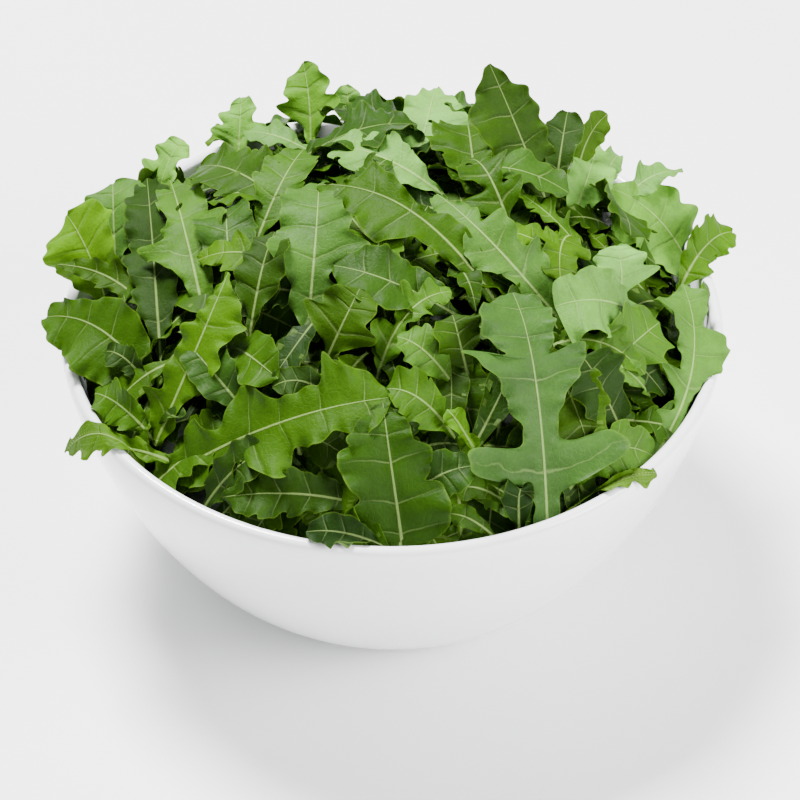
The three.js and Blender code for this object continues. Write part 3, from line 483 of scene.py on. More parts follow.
# %% Kinds laid once
OWN_KINDS = {
    "giant": [
        (0, 0.15, 0.15, 0), (0.1, 0.15, 0.17, 0), (0.15, 0.14, 0.15, 0.005),
        (0.175, 0.24, 0.18, 0.015), (0.19, 0.48, 0.38, 0.028), (0.205, 0.7, 0.72, 0.035),
        (0.22, 0.91, 0.85, 0.042), (0.24, 1.01, 0.96, 0.06), (0.255, 0.98, 1, 0.073),
        (0.267, 0.85, 0.87, 0.078), (0.28, 0.68, 0.68, 0.057), (0.292, 0.45, 0.42, 0.03),
        (0.305, 0.3, 0.29, 0.017), (0.33, 0.2, 0.215, 0.01), (0.375, 0.18, 0.22, 0.005),
        (0.42, 0.27, 0.3, 0.005), (0.455, 0.25, 0.36, 0.005), (0.49, 0.37, 0.385, 0.01),
        (0.52, 0.49, 0.45, 0.025), (0.545, 0.585, 0.59, 0.04), (0.565, 0.635, 0.76, 0.06),
        (0.58, 0.68, 0.89, 0.085), (0.595, 0.61, 0.85, 0.095), (0.612, 0.42, 0.68, 0.066),
        (0.622, 0.26, 0.46, 0.015), (0.642, 0.235, 0.3, 0.008), (0.677, 0.25, 0.36, 0.003),
        (0.72, 0.27, 0.52, 0.005), (0.79, 0.32, 0.575, 0), (0.84, 0.345, 0.56, 0),
        (0.875, 0.345, 0.53, 0), (0.92, 0.3, 0.38, 0), (0.96, 0.18, 0.2, 0), (1, 0.05, 0.1, 0),
    ],
    "hooked": [
        (0, 0.1, 0.1, 0), (0.06, 0.15, 0.2, 0), (0.11, 0.17, 0.26, 0), (0.16, 0.17, 0.29, 0),
        (0.195, 0.21, 0.3, 0.005), (0.23, 0.28, 0.32, 0.01), (0.26, 0.36, 0.38, 0.015),
        (0.28, 0.45, 0.44, 0.02), (0.3, 0.56, 0.46, 0.025), (0.315, 0.68, 0.52, 0.04),
        (0.335, 0.81, 0.62, 0.055), (0.35, 0.92, 0.72, 0.075), (0.365, 0.98, 0.79, 0.09),
        (0.38, 0.84, 0.81, 0.085), (0.397, 0.64, 0.8, 0.055), (0.415, 0.48, 0.79, 0.04),
        (0.435, 0.37, 0.8, 0.035), (0.46, 0.43, 0.8, 0.04), (0.475, 0.46, 0.66, 0.04),
        (0.498, 0.34, 0.5, 0.02), (0.52, 0.27, 0.38, 0.01), (0.55, 0.22, 0.42, 0.005),
        (0.595, 0.27, 0.54, 0.005), (0.645, 0.34, 0.54, 0.005), (0.7, 0.38, 0.5, 0),
        (0.755, 0.36, 0.4, 0), (0.81, 0.3, 0.28, 0), (0.87, 0.22, 0.16, 0), (0.93, 0.1, 0.08, 0),
        (1, 0.03, 0.03, 0),
    ],
    "ragged": [
        (0, 0.1, 0.1, 0), (0.05, 0.18, 0.2, 0), (0.09, 0.37, 0.31, 0.01), (0.13, 0.5, 0.51, 0.025),
        (0.155, 0.48, 0.64, 0.035), (0.175, 0.21, 0.67, 0.035), (0.199, 0.2, 0.5, 0.025),
        (0.22, 0.23, 0.38, 0.015), (0.255, 0.27, 0.3, 0.005), (0.285, 0.28, 0.31, 0.005),
        (0.31, 0.31, 0.44, 0.01), (0.325, 0.38, 0.6, 0.015), (0.345, 0.46, 0.79, 0.02),
        (0.37, 0.61, 0.87, 0.025), (0.41, 0.76, 0.83, 0.025), (0.445, 0.88, 0.72, 0.025),
        (0.475, 0.92, 0.52, 0.025), (0.51, 0.62, 0.41, 0.015), (0.555, 0.44, 0.37, 0.005),
        (0.6, 0.5, 0.38, 0), (0.64, 0.57, 0.43, 0), (0.685, 0.56, 0.435, 0), (0.725, 0.47, 0.41, 0),
        (0.735, 0.42, 0.56, 0.01), (0.743, 0.42, 0.95, 0.015), (0.768, 0.46, 0.73, 0.017),
        (0.81, 0.6, 0.57, 0.01), (0.865, 0.6, 0.57, 0.005), (0.92, 0.5, 0.48, 0),
        (0.96, 0.3, 0.3, 0), (1, 0.06, 0.06, 0),
    ],
    "oval": [
        (0, 0.08, 0.1, 0), (0.03, 0.3, 0.45, 0), (0.065, 0.5, 0.7, 0), (0.095, 0.7, 0.88, 0),
        (0.12, 0.74, 0.98, 0.005), (0.145, 0.86, 1.01, 0.01), (0.175, 1, 1.05, 0.015),
        (0.205, 1.1, 1.07, 0.02), (0.225, 1.1, 1.04, 0.025), (0.245, 0.85, 1.02, 0.019),
        (0.27, 0.73, 0.99, 0.015), (0.3, 0.78, 0.98, 0.015), (0.32, 0.83, 0.88, 0.015),
        (0.332, 0.85, 0.62, 0.006), (0.36, 0.9, 0.7, 0), (0.4, 0.96, 0.81, 0),
        (0.45, 1.02, 0.87, 0), (0.5, 1.05, 0.9, 0), (0.545, 1.04, 0.88, 0.005),
        (0.57, 1.01, 0.72, 0.01), (0.595, 0.93, 0.56, 0.01), (0.61, 0.71, 0.53, 0.008),
        (0.64, 0.8, 0.51, 0.01), (0.685, 0.82, 0.5, 0.015), (0.7, 0.67, 0.5, 0.012),
        (0.75, 0.62, 0.47, 0.01), (0.805, 0.54, 0.36, 0.005), (0.86, 0.41, 0.24, 0),
        (0.91, 0.3, 0.14, 0), (0.955, 0.18, 0.08, 0), (0.985, 0.05, 0.05, 0),
    ],
    "flagged": [
        (0, 0.06, 0.06, 0), (0.05, 0.2, 0.24, 0), (0.095, 0.4, 0.42, 0.005),
        (0.125, 0.56, 0.37, 0.015), (0.16, 0.7, 0.36, 0.027), (0.18, 0.58, 0.38, 0.02),
        (0.2, 0.38, 0.4, 0.012), (0.23, 0.31, 0.43, 0.01), (0.27, 0.34, 0.53, 0.01),
        (0.3, 0.42, 0.62, 0.01), (0.325, 0.6, 0.71, 0.02), (0.345, 0.86, 0.76, 0.03),
        (0.37, 1.03, 0.79, 0.04), (0.39, 0.95, 0.81, 0.045), (0.41, 0.75, 0.83, 0.045),
        (0.44, 0.64, 0.8, 0.035), (0.465, 0.62, 0.67, 0.025), (0.52, 0.65, 0.71, 0.02),
        (0.555, 0.66, 0.68, 0.015), (0.59, 0.5, 0.66, 0.01), (0.65, 0.47, 0.68, 0),
        (0.73, 0.42, 0.65, 0), (0.81, 0.4, 0.64, 0), (0.88, 0.34, 0.56, 0), (0.95, 0.22, 0.42, 0),
        (1, 0.06, 0.1, 0),
    ],
    "sprawled": [
        (0, 0.1, 0.06, 0), (0.06, 0.26, 0.06, 0), (0.125, 0.3, 0.1, 0.005),
        (0.18, 0.27, 0.14, 0.01), (0.205, 0.25, 0.16, 0.02), (0.21, 0.45, 0.2, 0.04),
        (0.225, 0.44, 0.26, 0.045), (0.25, 0.2, 0.38, 0.035), (0.28, 0.14, 0.34, 0.02),
        (0.32, 0.12, 0.2, 0.01), (0.36, 0.22, 0.22, 0.01), (0.385, 0.38, 0.34, 0.015),
        (0.405, 0.46, 0.45, 0.03), (0.425, 0.7, 0.52, 0.04), (0.44, 1, 0.57, 0.06),
        (0.452, 1.08, 0.6, 0.075), (0.462, 0.9, 0.61, 0.065), (0.473, 0.62, 0.6, 0.035),
        (0.485, 0.4, 0.6, 0.01), (0.5, 0.22, 0.6, 0), (0.53, 0.2, 0.6, 0),
        (0.57, 0.28, 0.62, 0.005), (0.61, 0.33, 0.65, 0.01), (0.645, 0.4, 0.74, 0.02),
        (0.67, 0.45, 0.75, 0.03), (0.692, 0.5, 0.73, 0.035), (0.715, 0.56, 0.66, 0.04),
        (0.73, 0.66, 0.42, 0.04), (0.745, 0.99, 0.29, 0.025), (0.755, 1.1, 0.28, 0.03),
        (0.775, 1.05, 0.28, 0.035), (0.815, 0.9, 0.32, 0.035), (0.875, 0.7, 0.38, 0.02),
        (0.905, 0.45, 0.41, 0.01), (0.935, 0.28, 0.38, 0.005), (0.975, 0.12, 0.2, 0),
        (1, 0.05, 0.05, 0),
    ],
    "stepped": [
        (0, 0.1, 0.15, 0), (0.05, 0.2, 0.25, 0), (0.09, 0.3, 0.44, 0.01), (0.1, 0.28, 0.64, 0.03),
        (0.115, 0.25, 0.84, 0.05), (0.13, 0.24, 0.84, 0.06), (0.16, 0.23, 0.62, 0.04),
        (0.188, 0.23, 0.4, 0.02), (0.215, 0.26, 0.4, 0.01), (0.25, 0.45, 0.47, 0.01),
        (0.29, 0.55, 0.54, 0.01), (0.325, 0.65, 0.53, 0.015), (0.365, 0.72, 0.48, 0.02),
        (0.4, 0.77, 0.46, 0.02), (0.44, 0.77, 0.45, 0.02), (0.48, 0.63, 0.46, 0.015),
        (0.515, 0.62, 0.5, 0.015), (0.545, 0.68, 0.5, 0.02), (0.555, 0.73, 0.36, 0.02),
        (0.57, 0.8, 0.24, 0.03), (0.595, 0.93, 0.24, 0.045), (0.61, 0.98, 0.25, 0.06),
        (0.64, 0.72, 0.25, 0.035), (0.685, 0.8, 0.21, 0.02), (0.725, 0.75, 0.2, 0.02),
        (0.775, 0.6, 0.2, 0.01), (0.83, 0.38, 0.18, 0.005), (0.88, 0.18, 0.08, 0),
        (0.94, 0.11, 0.05, 0), (1, 0.03, 0.03, 0),
    ],
    "wedged": [
        (0, 0.12, 0.12, 0), (0.08, 0.15, 0.17, 0), (0.135, 0.26, 0.2, 0.005),
        (0.19, 0.42, 0.22, 0.01), (0.26, 0.48, 0.3, 0.01), (0.325, 0.52, 0.4, 0.015),
        (0.38, 0.5, 0.5, 0.02), (0.415, 0.32, 0.55, 0.015), (0.445, 0.2, 0.62, 0.01),
        (0.485, 0.18, 0.93, 0.015), (0.53, 0.28, 1.08, 0.02), (0.57, 0.34, 1.15, 0.03),
        (0.61, 0.47, 1.07, 0.03), (0.65, 0.57, 0.9, 0.04), (0.69, 0.66, 0.7, 0.05),
        (0.725, 0.76, 0.79, 0.06), (0.745, 0.68, 0.64, 0.055), (0.775, 0.4, 0.54, 0.04),
        (0.81, 0.14, 0.48, 0.03), (0.885, 0.06, 0.42, 0.015), (0.95, 0.04, 0.3, 0),
        (1, 0.02, 0.1, 0),
    ],
    "pronged": [
        (0, 0.1, 0.1, 0), (0.08, 0.2, 0.3, 0), (0.14, 0.28, 0.55, 0.01), (0.19, 0.3, 0.72, 0.03),
        (0.23, 0.32, 0.84, 0.05), (0.25, 0.34, 0.88, 0.075), (0.26, 0.36, 0.84, 0.08),
        (0.28, 0.4, 0.6, 0.05), (0.297, 0.45, 0.48, 0.03), (0.33, 0.55, 0.47, 0.03),
        (0.365, 0.65, 0.51, 0.035), (0.395, 0.72, 0.6, 0.055), (0.425, 0.68, 0.63, 0.085),
        (0.455, 0.55, 0.67, 0.105), (0.475, 0.45, 0.66, 0.115), (0.502, 0.38, 0.45, 0.095),
        (0.53, 0.32, 0.22, 0.07), (0.565, 0.32, 0.18, 0.05), (0.6, 0.36, 0.3, 0.04),
        (0.64, 0.42, 0.35, 0.04), (0.7, 0.46, 0.34, 0.035), (0.75, 0.44, 0.27, 0.025),
        (0.785, 0.42, 0.14, 0.015), (0.865, 0.36, 0.06, 0.005), (0.93, 0.3, 0.05, 0),
        (1, 0.12, 0.04, 0),
    ],
    "cloaked": [
        (0, 0.2, 0.15, 0), (0.06, 0.5, 0.27, 0), (0.11, 0.8, 0.33, 0.01),
        (0.145, 0.86, 0.42, 0.015), (0.17, 0.88, 0.72, 0.03), (0.2, 0.9, 1.02, 0.04),
        (0.225, 0.91, 1.26, 0.055), (0.255, 0.92, 0.96, 0.045), (0.295, 0.94, 0.92, 0.045),
        (0.34, 0.95, 0.92, 0.05), (0.375, 0.92, 0.91, 0.06), (0.405, 0.72, 0.9, 0.055),
        (0.44, 0.53, 0.9, 0.04), (0.51, 0.54, 0.86, 0.03), (0.565, 0.54, 0.76, 0.03),
        (0.62, 0.53, 0.65, 0.02), (0.675, 0.51, 0.6, 0.02), (0.725, 0.42, 0.57, 0.02),
        (0.78, 0.32, 0.51, 0.01), (0.83, 0.26, 0.4, 0.01), (0.885, 0.2, 0.28, 0.005),
        (0.95, 0.12, 0.17, 0), (1, 0.04, 0.06, 0),
    ],
    "pointed": [
        (0, 0.08, 0.08, 0), (0.08, 0.12, 0.1, 0), (0.15, 0.32, 0.24, 0), (0.215, 0.54, 0.36, 0.005),
        (0.29, 0.64, 0.45, 0.01), (0.38, 0.6, 0.58, 0.02), (0.46, 0.55, 0.7, 0.02),
        (0.51, 0.6, 0.82, 0.02), (0.58, 0.6, 0.94, 0.02), (0.64, 0.62, 1.02, 0.02),
        (0.685, 0.63, 1.05, 0.025), (0.73, 0.54, 1, 0.02), (0.78, 0.51, 0.93, 0.02),
        (0.8, 0.47, 0.9, 0.025), (0.83, 0.33, 0.65, 0.01), (0.875, 0.25, 0.56, 0.01),
        (0.92, 0.19, 0.46, 0.005), (0.965, 0.14, 0.32, 0), (1, 0.06, 0.12, 0),
    ],
    "draped": [
        (0, 0.12, 0.1, 0), (0.08, 0.3, 0.2, 0), (0.15, 0.6, 0.25, 0.01), (0.22, 0.85, 0.34, 0.02),
        (0.29, 0.95, 0.45, 0.03), (0.36, 1.02, 0.6, 0.04), (0.41, 1.06, 0.76, 0.04),
        (0.46, 1.1, 0.87, 0.04), (0.49, 1.14, 0.78, 0.04), (0.52, 1.17, 0.65, 0.04),
        (0.555, 1.22, 0.77, 0.045), (0.585, 1.26, 0.93, 0.06), (0.63, 1.3, 0.84, 0.06),
        (0.69, 1.36, 0.65, 0.06), (0.75, 1.42, 0.48, 0.06), (0.82, 1.43, 0.34, 0.05),
        (0.89, 1.38, 0.24, 0.04), (0.93, 1.28, 0.16, 0.035), (0.945, 0.8, 0.1, 0.02),
        (0.97, 0.5, 0.06, 0.01), (1, 0.1, 0.04, 0),
    ],
    "cupped": [
        (0, 0.1, 0.12, 0), (0.1, 0.13, 0.3, 0), (0.2, 0.16, 0.4, 0), (0.265, 0.26, 0.34, 0.005),
        (0.31, 0.33, 0.38, 0.01), (0.365, 0.42, 0.57, 0.015), (0.41, 0.5, 0.72, 0.02),
        (0.46, 0.65, 0.8, 0.02), (0.52, 0.74, 0.87, 0.02), (0.57, 0.85, 0.94, 0.03),
        (0.62, 0.88, 0.98, 0.03), (0.665, 0.86, 1.01, 0.035), (0.705, 0.8, 0.93, 0.03),
        (0.73, 0.7, 0.78, 0.02), (0.78, 0.7, 0.8, 0.02), (0.84, 0.7, 0.84, 0.02),
        (0.885, 0.64, 0.95, 0.02), (0.93, 0.54, 1.06, 0.02), (0.96, 0.4, 1.08, 0.015),
        (0.985, 0.2, 0.7, 0.005), (1, 0.06, 0.1, 0),
    ],
    "paddle": [
        (0, 0.15, 0.3, 0), (0.08, 0.25, 0.6, 0), (0.15, 0.36, 0.74, 0), (0.24, 0.54, 0.86, 0.01),
        (0.33, 0.7, 0.96, 0.02), (0.39, 0.7, 1, 0.03), (0.445, 0.77, 1.01, 0.035),
        (0.5, 0.7, 0.95, 0.03), (0.55, 0.64, 0.85, 0.02), (0.6, 0.56, 0.8, 0.02),
        (0.66, 0.46, 0.8, 0.02), (0.72, 0.4, 0.78, 0.02), (0.79, 0.38, 0.69, 0.01),
        (0.85, 0.36, 0.61, 0.01), (0.9, 0.35, 0.54, 0.01), (0.955, 0.34, 0.34, 0),
        (0.99, 0.32, 0.26, 0), (1, 0.1, 0.08, 0.03),
    ],
}
KINDS = {**COMMON_KINDS, **OWN_KINDS}
print("kinds laid once:", ", ".join(OWN_KINDS))

# %% [markdown]
# ## Where the veins run
# A main side vein leaves the midrib for every lobe. A row says how far along each one starts.
# Its first and its last number lie off the leaf, so that the count of veins runs on to both
# ends. The veins slant forward, and a few kinds have steeper or flatter ones than usual. Most
# common kinds also have a more uneven edge, or their leaves would be too much alike.

# %% Veins
VEINS = {
    "giant": (-0.1, 0.06, 0.21, 0.52, 0.72, 0.88, 1.1),
    "lobed": (-0.1, 0.1, 0.25, 0.52, 0.75, 0.9, 1.1),
    "crowned": (-0.1, 0.28, 0.48, 0.72, 0.88, 1.1),
    "toothed": (-0.1, 0.2, 0.38, 0.57, 0.78, 1.1),
    "broad": (-0.1, 0.15, 0.34, 0.55, 0.75, 1.1),
    "spear": (-0.1, 0.26, 0.44, 0.65, 0.85, 1.1),
    "strap": (-0.1, 0.37, 0.7, 1.1),
    "winged": (-0.1, 0.12, 0.36, 0.66, 0.85, 1.1),
    "hooked": (-0.1, 0.13, 0.32, 0.56, 0.78, 1.1),
    "ragged": (-0.1, 0.1, 0.38, 0.52, 0.7, 0.88, 1.1),
    "oval": (-0.1, 0.08, 0.22, 0.48, 0.66, 0.85, 1.1),
    "flagged": (-0.1, 0.12, 0.33, 0.52, 0.7, 0.88, 1.1),
    "sprawled": (-0.1, 0.17, 0.42, 0.6, 0.74, 0.9, 1.1),
    "stepped": (-0.1, 0.1, 0.32, 0.58, 0.78, 1.1),
    "wedged": (-0.1, 0.22, 0.52, 0.7, 0.86, 1.1),
    "pronged": (-0.1, 0.23, 0.4, 0.68, 0.88, 1.1),
    "cloaked": (-0.1, 0.11, 0.22, 0.38, 0.58, 0.78, 1.1),
    "pointed": (-0.1, 0.12, 0.3, 0.5, 0.68, 0.86, 1.1),
    "draped": (-0.1, 0.2, 0.42, 0.56, 0.78, 1.1),
    "cupped": (-0.1, 0.2, 0.38, 0.6, 0.82, 1.1),
    "paddle": (-0.1, 0.16, 0.4, 0.62, 0.82, 1.1),
}
USUAL_SLANT = 0.35
SLANT = {"giant": 0.2, "lobed": 0.2, "crowned": 0.2, "broad": 0.5, "strap": 0.8}
LITTLE_CHANCE = 0.35
CHANCE = {"lobed": 1.0, "crowned": 1.0, "toothed": 1.1, "broad": 1.0, "spear": 0.8, "strap": 0.2}
print("most side veins:", max(len(row) - 2 for row in VEINS.values()))

# %% [markdown]
# ## A flat leaf
# Each kind is modelled once, flat, at a length and a reach of 1. A small grid gives the first
# row of three points, the midrib's and both edges', and the row is extruded from station to
# station. Two attributes remember how far along the midrib and how near the edge a point is.

# %% Flat cage
ROUNDING_LOSS = 1.06


def spread_row(mesh, row, station):
    """Moves a row of three points to a station: the midrib's point and both edges."""
    along, left, right, lean = station
    root = mesh.verts.layers.float["root"]
    share = mesh.verts.layers.float["share"]
    for vert in row:
        side = 0 if abs(vert.co.y) < 0.001 else math.copysign(1, vert.co.y)
        reach = {1: left, 0: 0, -1: right}[side] * ROUNDING_LOSS
        vert.co = (along + lean * abs(side), side * reach, 0)
        vert[root] = along
        vert[share] = abs(side)


def flat_cage(kind):
    """A kind's stations, as rows of three points that are extruded one from another."""
    stations = KINDS[kind]
    bpy.ops.object.select_all(action="DESELECT")
    bpy.ops.mesh.primitive_grid_add(x_subdivisions=1, y_subdivisions=2, size=2)
    leaf = bpy.context.object
    leaf.name = "flat_" + kind
    leaf.data.attributes.new("root", "FLOAT", "POINT")
    leaf.data.attributes.new("share", "FLOAT", "POINT")
    bpy.ops.object.mode_set(mode="EDIT")
    bpy.ops.mesh.select_mode(type="VERT")
    bpy.ops.mesh.select_all(action="DESELECT")
    mesh = bmesh.from_edit_mesh(leaf.data)
    first = [v for v in mesh.verts if v.co.x < 0]
    row = [v for v in mesh.verts if v.co.x > 0]
    spread_row(mesh, first, stations[0])
    spread_row(mesh, row, stations[1])
    for vert in row:
        vert.select_set(True)
    mesh.select_flush(True)
    for station in stations[2:]:
        bmesh.update_edit_mesh(leaf.data)
        bpy.ops.mesh.extrude_region_move(TRANSFORM_OT_translate={"value": (0.01, 0, 0)})
        mesh = bmesh.from_edit_mesh(leaf.data)
        spread_row(mesh, [v for v in mesh.verts if v.select], station)
    bmesh.update_edit_mesh(leaf.data)
    bpy.ops.mesh.select_all(action="SELECT")
    bpy.ops.mesh.normals_make_consistent(inside=False)
    bpy.ops.object.mode_set(mode="OBJECT")
    return leaf


print("a lobed leaf has", len(KINDS["lobed"]), "stations")

# %% [markdown]
# A Subdivision Surface modifier rounds the lobes of the cage. It is applied, and the fine flat
# leaf is kept as plain arrays of points and faces, because it is laid many times. Leaves in
# full view get three levels, smaller ones two, and those in the shade one.

# %% Flat leaves
def flat_leaf(kind, levels):
    """One kind of leaf, flat and fine, as its points and faces."""
    leaf = flat_cage(kind)
    rounding = leaf.modifiers.new("rounding", "SUBSURF")
    rounding.levels = levels
    bpy.ops.object.modifier_apply(modifier=rounding.name)
    count = len(leaf.data.vertices)
    points, root, share = np.empty(count * 3), np.empty(count), np.empty(count)
    leaf.data.vertices.foreach_get("co", points)
    leaf.data.attributes["root"].data.foreach_get("value", root)
    leaf.data.attributes["share"].data.foreach_get("value", share)
    points = np.column_stack([points.reshape(-1, 3)[:, :2], root, share])
    faces = np.empty(len(leaf.data.polygons) * 4, dtype=int)
    leaf.data.polygons.foreach_get("vertices", faces)
    faces = faces.reshape(-1, 4)
    if leaf.data.polygons[0].normal.z < 0:
        faces = faces[:, ::-1]
    bpy.data.objects.remove(leaf)
    return points, faces


FINE, COARSE, SHADED = 3, 2, 1
flat = {}
for kind in KINDS:
    for level in (FINE, COARSE, SHADED):
        flat[kind, level] = flat_leaf(kind, level)
print("a fine lobed leaf has", len(flat["lobed", FINE][1]), "faces")

# %% [markdown]
# ## Laying a leaf on the heap
# A leaf's midrib is a smooth curve that is pulled by three points: the stalk, the middle and
# the tip. The stalk is sunk in the heap, and the tip stands as high over it as in the photo.

# %% Midrib
STALK_SINK = 10.0


def turned(vector, axis, degrees):
    """A vector turned round an axis."""
    turn = math.radians(degrees)
    across = np.cross(axis, vector)
    along = axis * np.dot(axis, vector) * (1 - math.cos(turn))
    return vector * math.cos(turn) + across * math.sin(turn) + along


def leaf_frame(leaf):
    """The three points that pull a midrib's curve, and the way out to its left side."""
    stalk_x, stalk_y, tip_x, tip_y, lift, arch, bow = leaf[1:8]
    stalk = np.array([stalk_x, stalk_y, heap_height(stalk_x, stalk_y) - STALK_SINK])
    tip = np.array([tip_x, tip_y, heap_height(tip_x, tip_y) + lift])
    plan = unit(np.array([tip_x - stalk_x, tip_y - stalk_y], dtype=float))
    middle_x = (stalk_x + tip_x) / 2 - plan[1] * bow
    middle_y = (stalk_y + tip_y) / 2 + plan[0] * bow
    middle = np.array([middle_x, middle_y, heap_height(middle_x, middle_y) + arch])
    pull = 2 * middle - (stalk + tip) / 2
    chord = unit(tip - stalk)
    side = unit(np.cross(heap_normal(middle_x, middle_y), chord))
    return stalk, pull, tip, turned(side, chord, leaf[9])


def along_rib(frame_points, along):
    """Places on a midrib and the way it runs there."""
    stalk, pull, tip = frame_points[:3]
    t = np.clip(along, 0, 1)[:, None]
    place = (1 - t) ** 2 * stalk + 2 * t * (1 - t) * pull + t ** 2 * tip
    run = 2 * (1 - t) * (pull - stalk) + 2 * t * (tip - pull)
    length = float(np.linalg.norm(run, axis=1).mean())
    run = unit(run)
    return place + run * (along[:, None] - t) * length, run, length


sample = leaf_frame(("strap", 0, 0, 60, 0, 10, 5, 0, 8, 0))
print("a midrib from stalk to tip, in mm:", along_rib(sample, np.linspace(0, 1, 3))[0].round(1).tolist())

# %% [markdown]
# Every point of the flat leaf is carried to its place beside the midrib. The outline comes out
# uneven and finely toothed. The blade is cupped, as the two halves of a real one are, waved
# and rippled at its edge, its lobes tilt, and it puffs up a little between two veins.

# %% Bending a leaf
FULL_REACH = 12
TOOTH_LENGTH = 8.0
TOOTH_DEPTH = 0.45
UNEVEN = 0.1
CUP = 0.14
WAVE = 1.6
WAVE_TURNS = 1.6
LOBE_LENGTH = 26.0
LOBE_TILT = 0.16
RIPPLE_LENGTH = 8.0
EDGE_RIPPLE = 1.1
QUILT = 0.15


def vein_phase(kind, points, reach, length):
    """A number that is whole on every side vein."""
    side, root, share = points.T[1:]
    slant = SLANT.get(kind, USUAL_SLANT)
    forward = slant * np.abs(side) * reach / length * (1 - share / 2)
    return np.interp(root - forward, VEINS[kind], np.arange(len(VEINS[kind])))


def edge_reach(leaf, points, length, hand, phase):
    """How far beside the midrib each point lies. Phase and hand set leaves and sides apart."""
    kind, reach = leaf[0], leaf[8]
    along, side_share, _, share = points.T
    chance = CHANCE.get(kind, LITTLE_CHANCE)
    beat = 2 * math.pi * along * length / TOOTH_LENGTH
    tooth = np.sin(beat + 31 * phase + hand) + 0.6 * np.sin(1.7 * beat + 47 * phase + 2 * hand)
    size = TOOTH_DEPTH * chance * min(1, reach / FULL_REACH)
    uneven = 1 + UNEVEN * chance * np.sin(7 * along + 17 * phase + 1.3 * hand)
    return hand * (np.abs(side_share) * reach * uneven + size * tooth * share ** 6)


def blade_rise(reach, points, out, length, veins, hand, phase):
    """How high over the midrib each point stands."""
    along, _, _, share = points.T
    away = np.abs(out)
    turn = 2 * math.pi * along * length
    wave = np.sin(2 * math.pi * (WAVE_TURNS * along + phase) + hand)
    tilt = np.sin(turn / LOBE_LENGTH + 1.9 * hand + 11 * phase)
    ripple = np.sin(turn / RIPPLE_LENGTH + 2.4 * hand + 7 * phase)
    puff = np.abs(np.sin(math.pi * veins)) ** 0.6 * share * (1 - share) * 4
    rise = CUP * away + WAVE * wave * away / reach
    rise = rise + LOBE_TILT * away * share * tilt + EDGE_RIPPLE * ripple * share ** 4
    return rise + QUILT * min(1, reach / FULL_REACH) * puff


print("teeth on a leaf of 60 mm:", round(60 / TOOTH_LENGTH, 1), "on each side")

# %% [markdown]
# The bent leaf gets its two skins. The blade is a third of a millimetre thick, and the midrib
# stands out of its underside, thick at the stalk and thin at the tip.

# %% Both skins
BLADE = 0.3
RIB = 0.9
RIB_WIDTH = 0.9
RIB_ABOVE = 0.2


def laid_leaf(leaf, number, points):
    """A flat leaf's points as the two skins of a thin solid on the heap, in mm."""
    along, side_share = points.T[:2]
    hand = np.sign(side_share) * (1 if number % 2 else -1)
    phase = (number * 0.37) % 1
    frame_points = leaf_frame(leaf)
    place, run, length = along_rib(frame_points, along)
    side = unit(frame_points[3] - run * (run @ frame_points[3])[:, None])
    face = np.cross(run, side)
    veins = vein_phase(leaf[0], points, leaf[8], length)
    out = edge_reach(leaf, points, length, hand, phase)
    rise = blade_rise(leaf[8], points, out, length, veins, hand, phase)
    middle = place + side * out[:, None] + face * rise[:, None]
    rib = RIB * (1 - 0.7 * np.clip(along, 0, 1)) * np.exp(-(out / RIB_WIDTH) ** 2)
    above = (BLADE / 2 + RIB_ABOVE * rib)[:, None]
    below = (BLADE / 2 + rib)[:, None]
    both = np.vstack([middle + face * above, middle - face * below])
    return clear_of_bowl(both, leaf[-1] == "over"), length, veins


print("a leaf is", BLADE, "mm thick and", round(BLADE + RIB * (1 + RIB_ABOVE), 2), "mm at the stalk")

# %% [markdown]
# A narrow strip along the edge closes the two skins to one solid. The edge of a flat leaf is
# found by counting: an inner side of a face belongs to two faces, an outer one to one.

# %% Closing a leaf
def rim_of(faces):
    """The outer edge of a flat leaf, as pairs of points in the faces' own order."""
    pairs = np.vstack([faces[:, [i, (i + 1) % 4]] for i in range(4)])
    known = {tuple(sorted(pair)): 0 for pair in pairs.tolist()}
    for pair in pairs.tolist():
        known[tuple(sorted(pair))] += 1
    return np.array([pair for pair in pairs.tolist() if known[tuple(sorted(pair))] == 1])


def closed_faces(faces):
    """Faces of the upper skin, the lower skin and the narrow edge between them."""
    count = faces.max() + 1
    rim = rim_of(faces)
    wall = np.column_stack([rim[:, 1], rim[:, 0], rim[:, 0] + count, rim[:, 1] + count])
    return np.vstack([faces, faces[:, ::-1] + count, wall])


skins = {key: closed_faces(faces) for key, (_, faces) in flat.items()}
print("a leaf has", len(skins["lobed", FINE]), "faces in both skins")
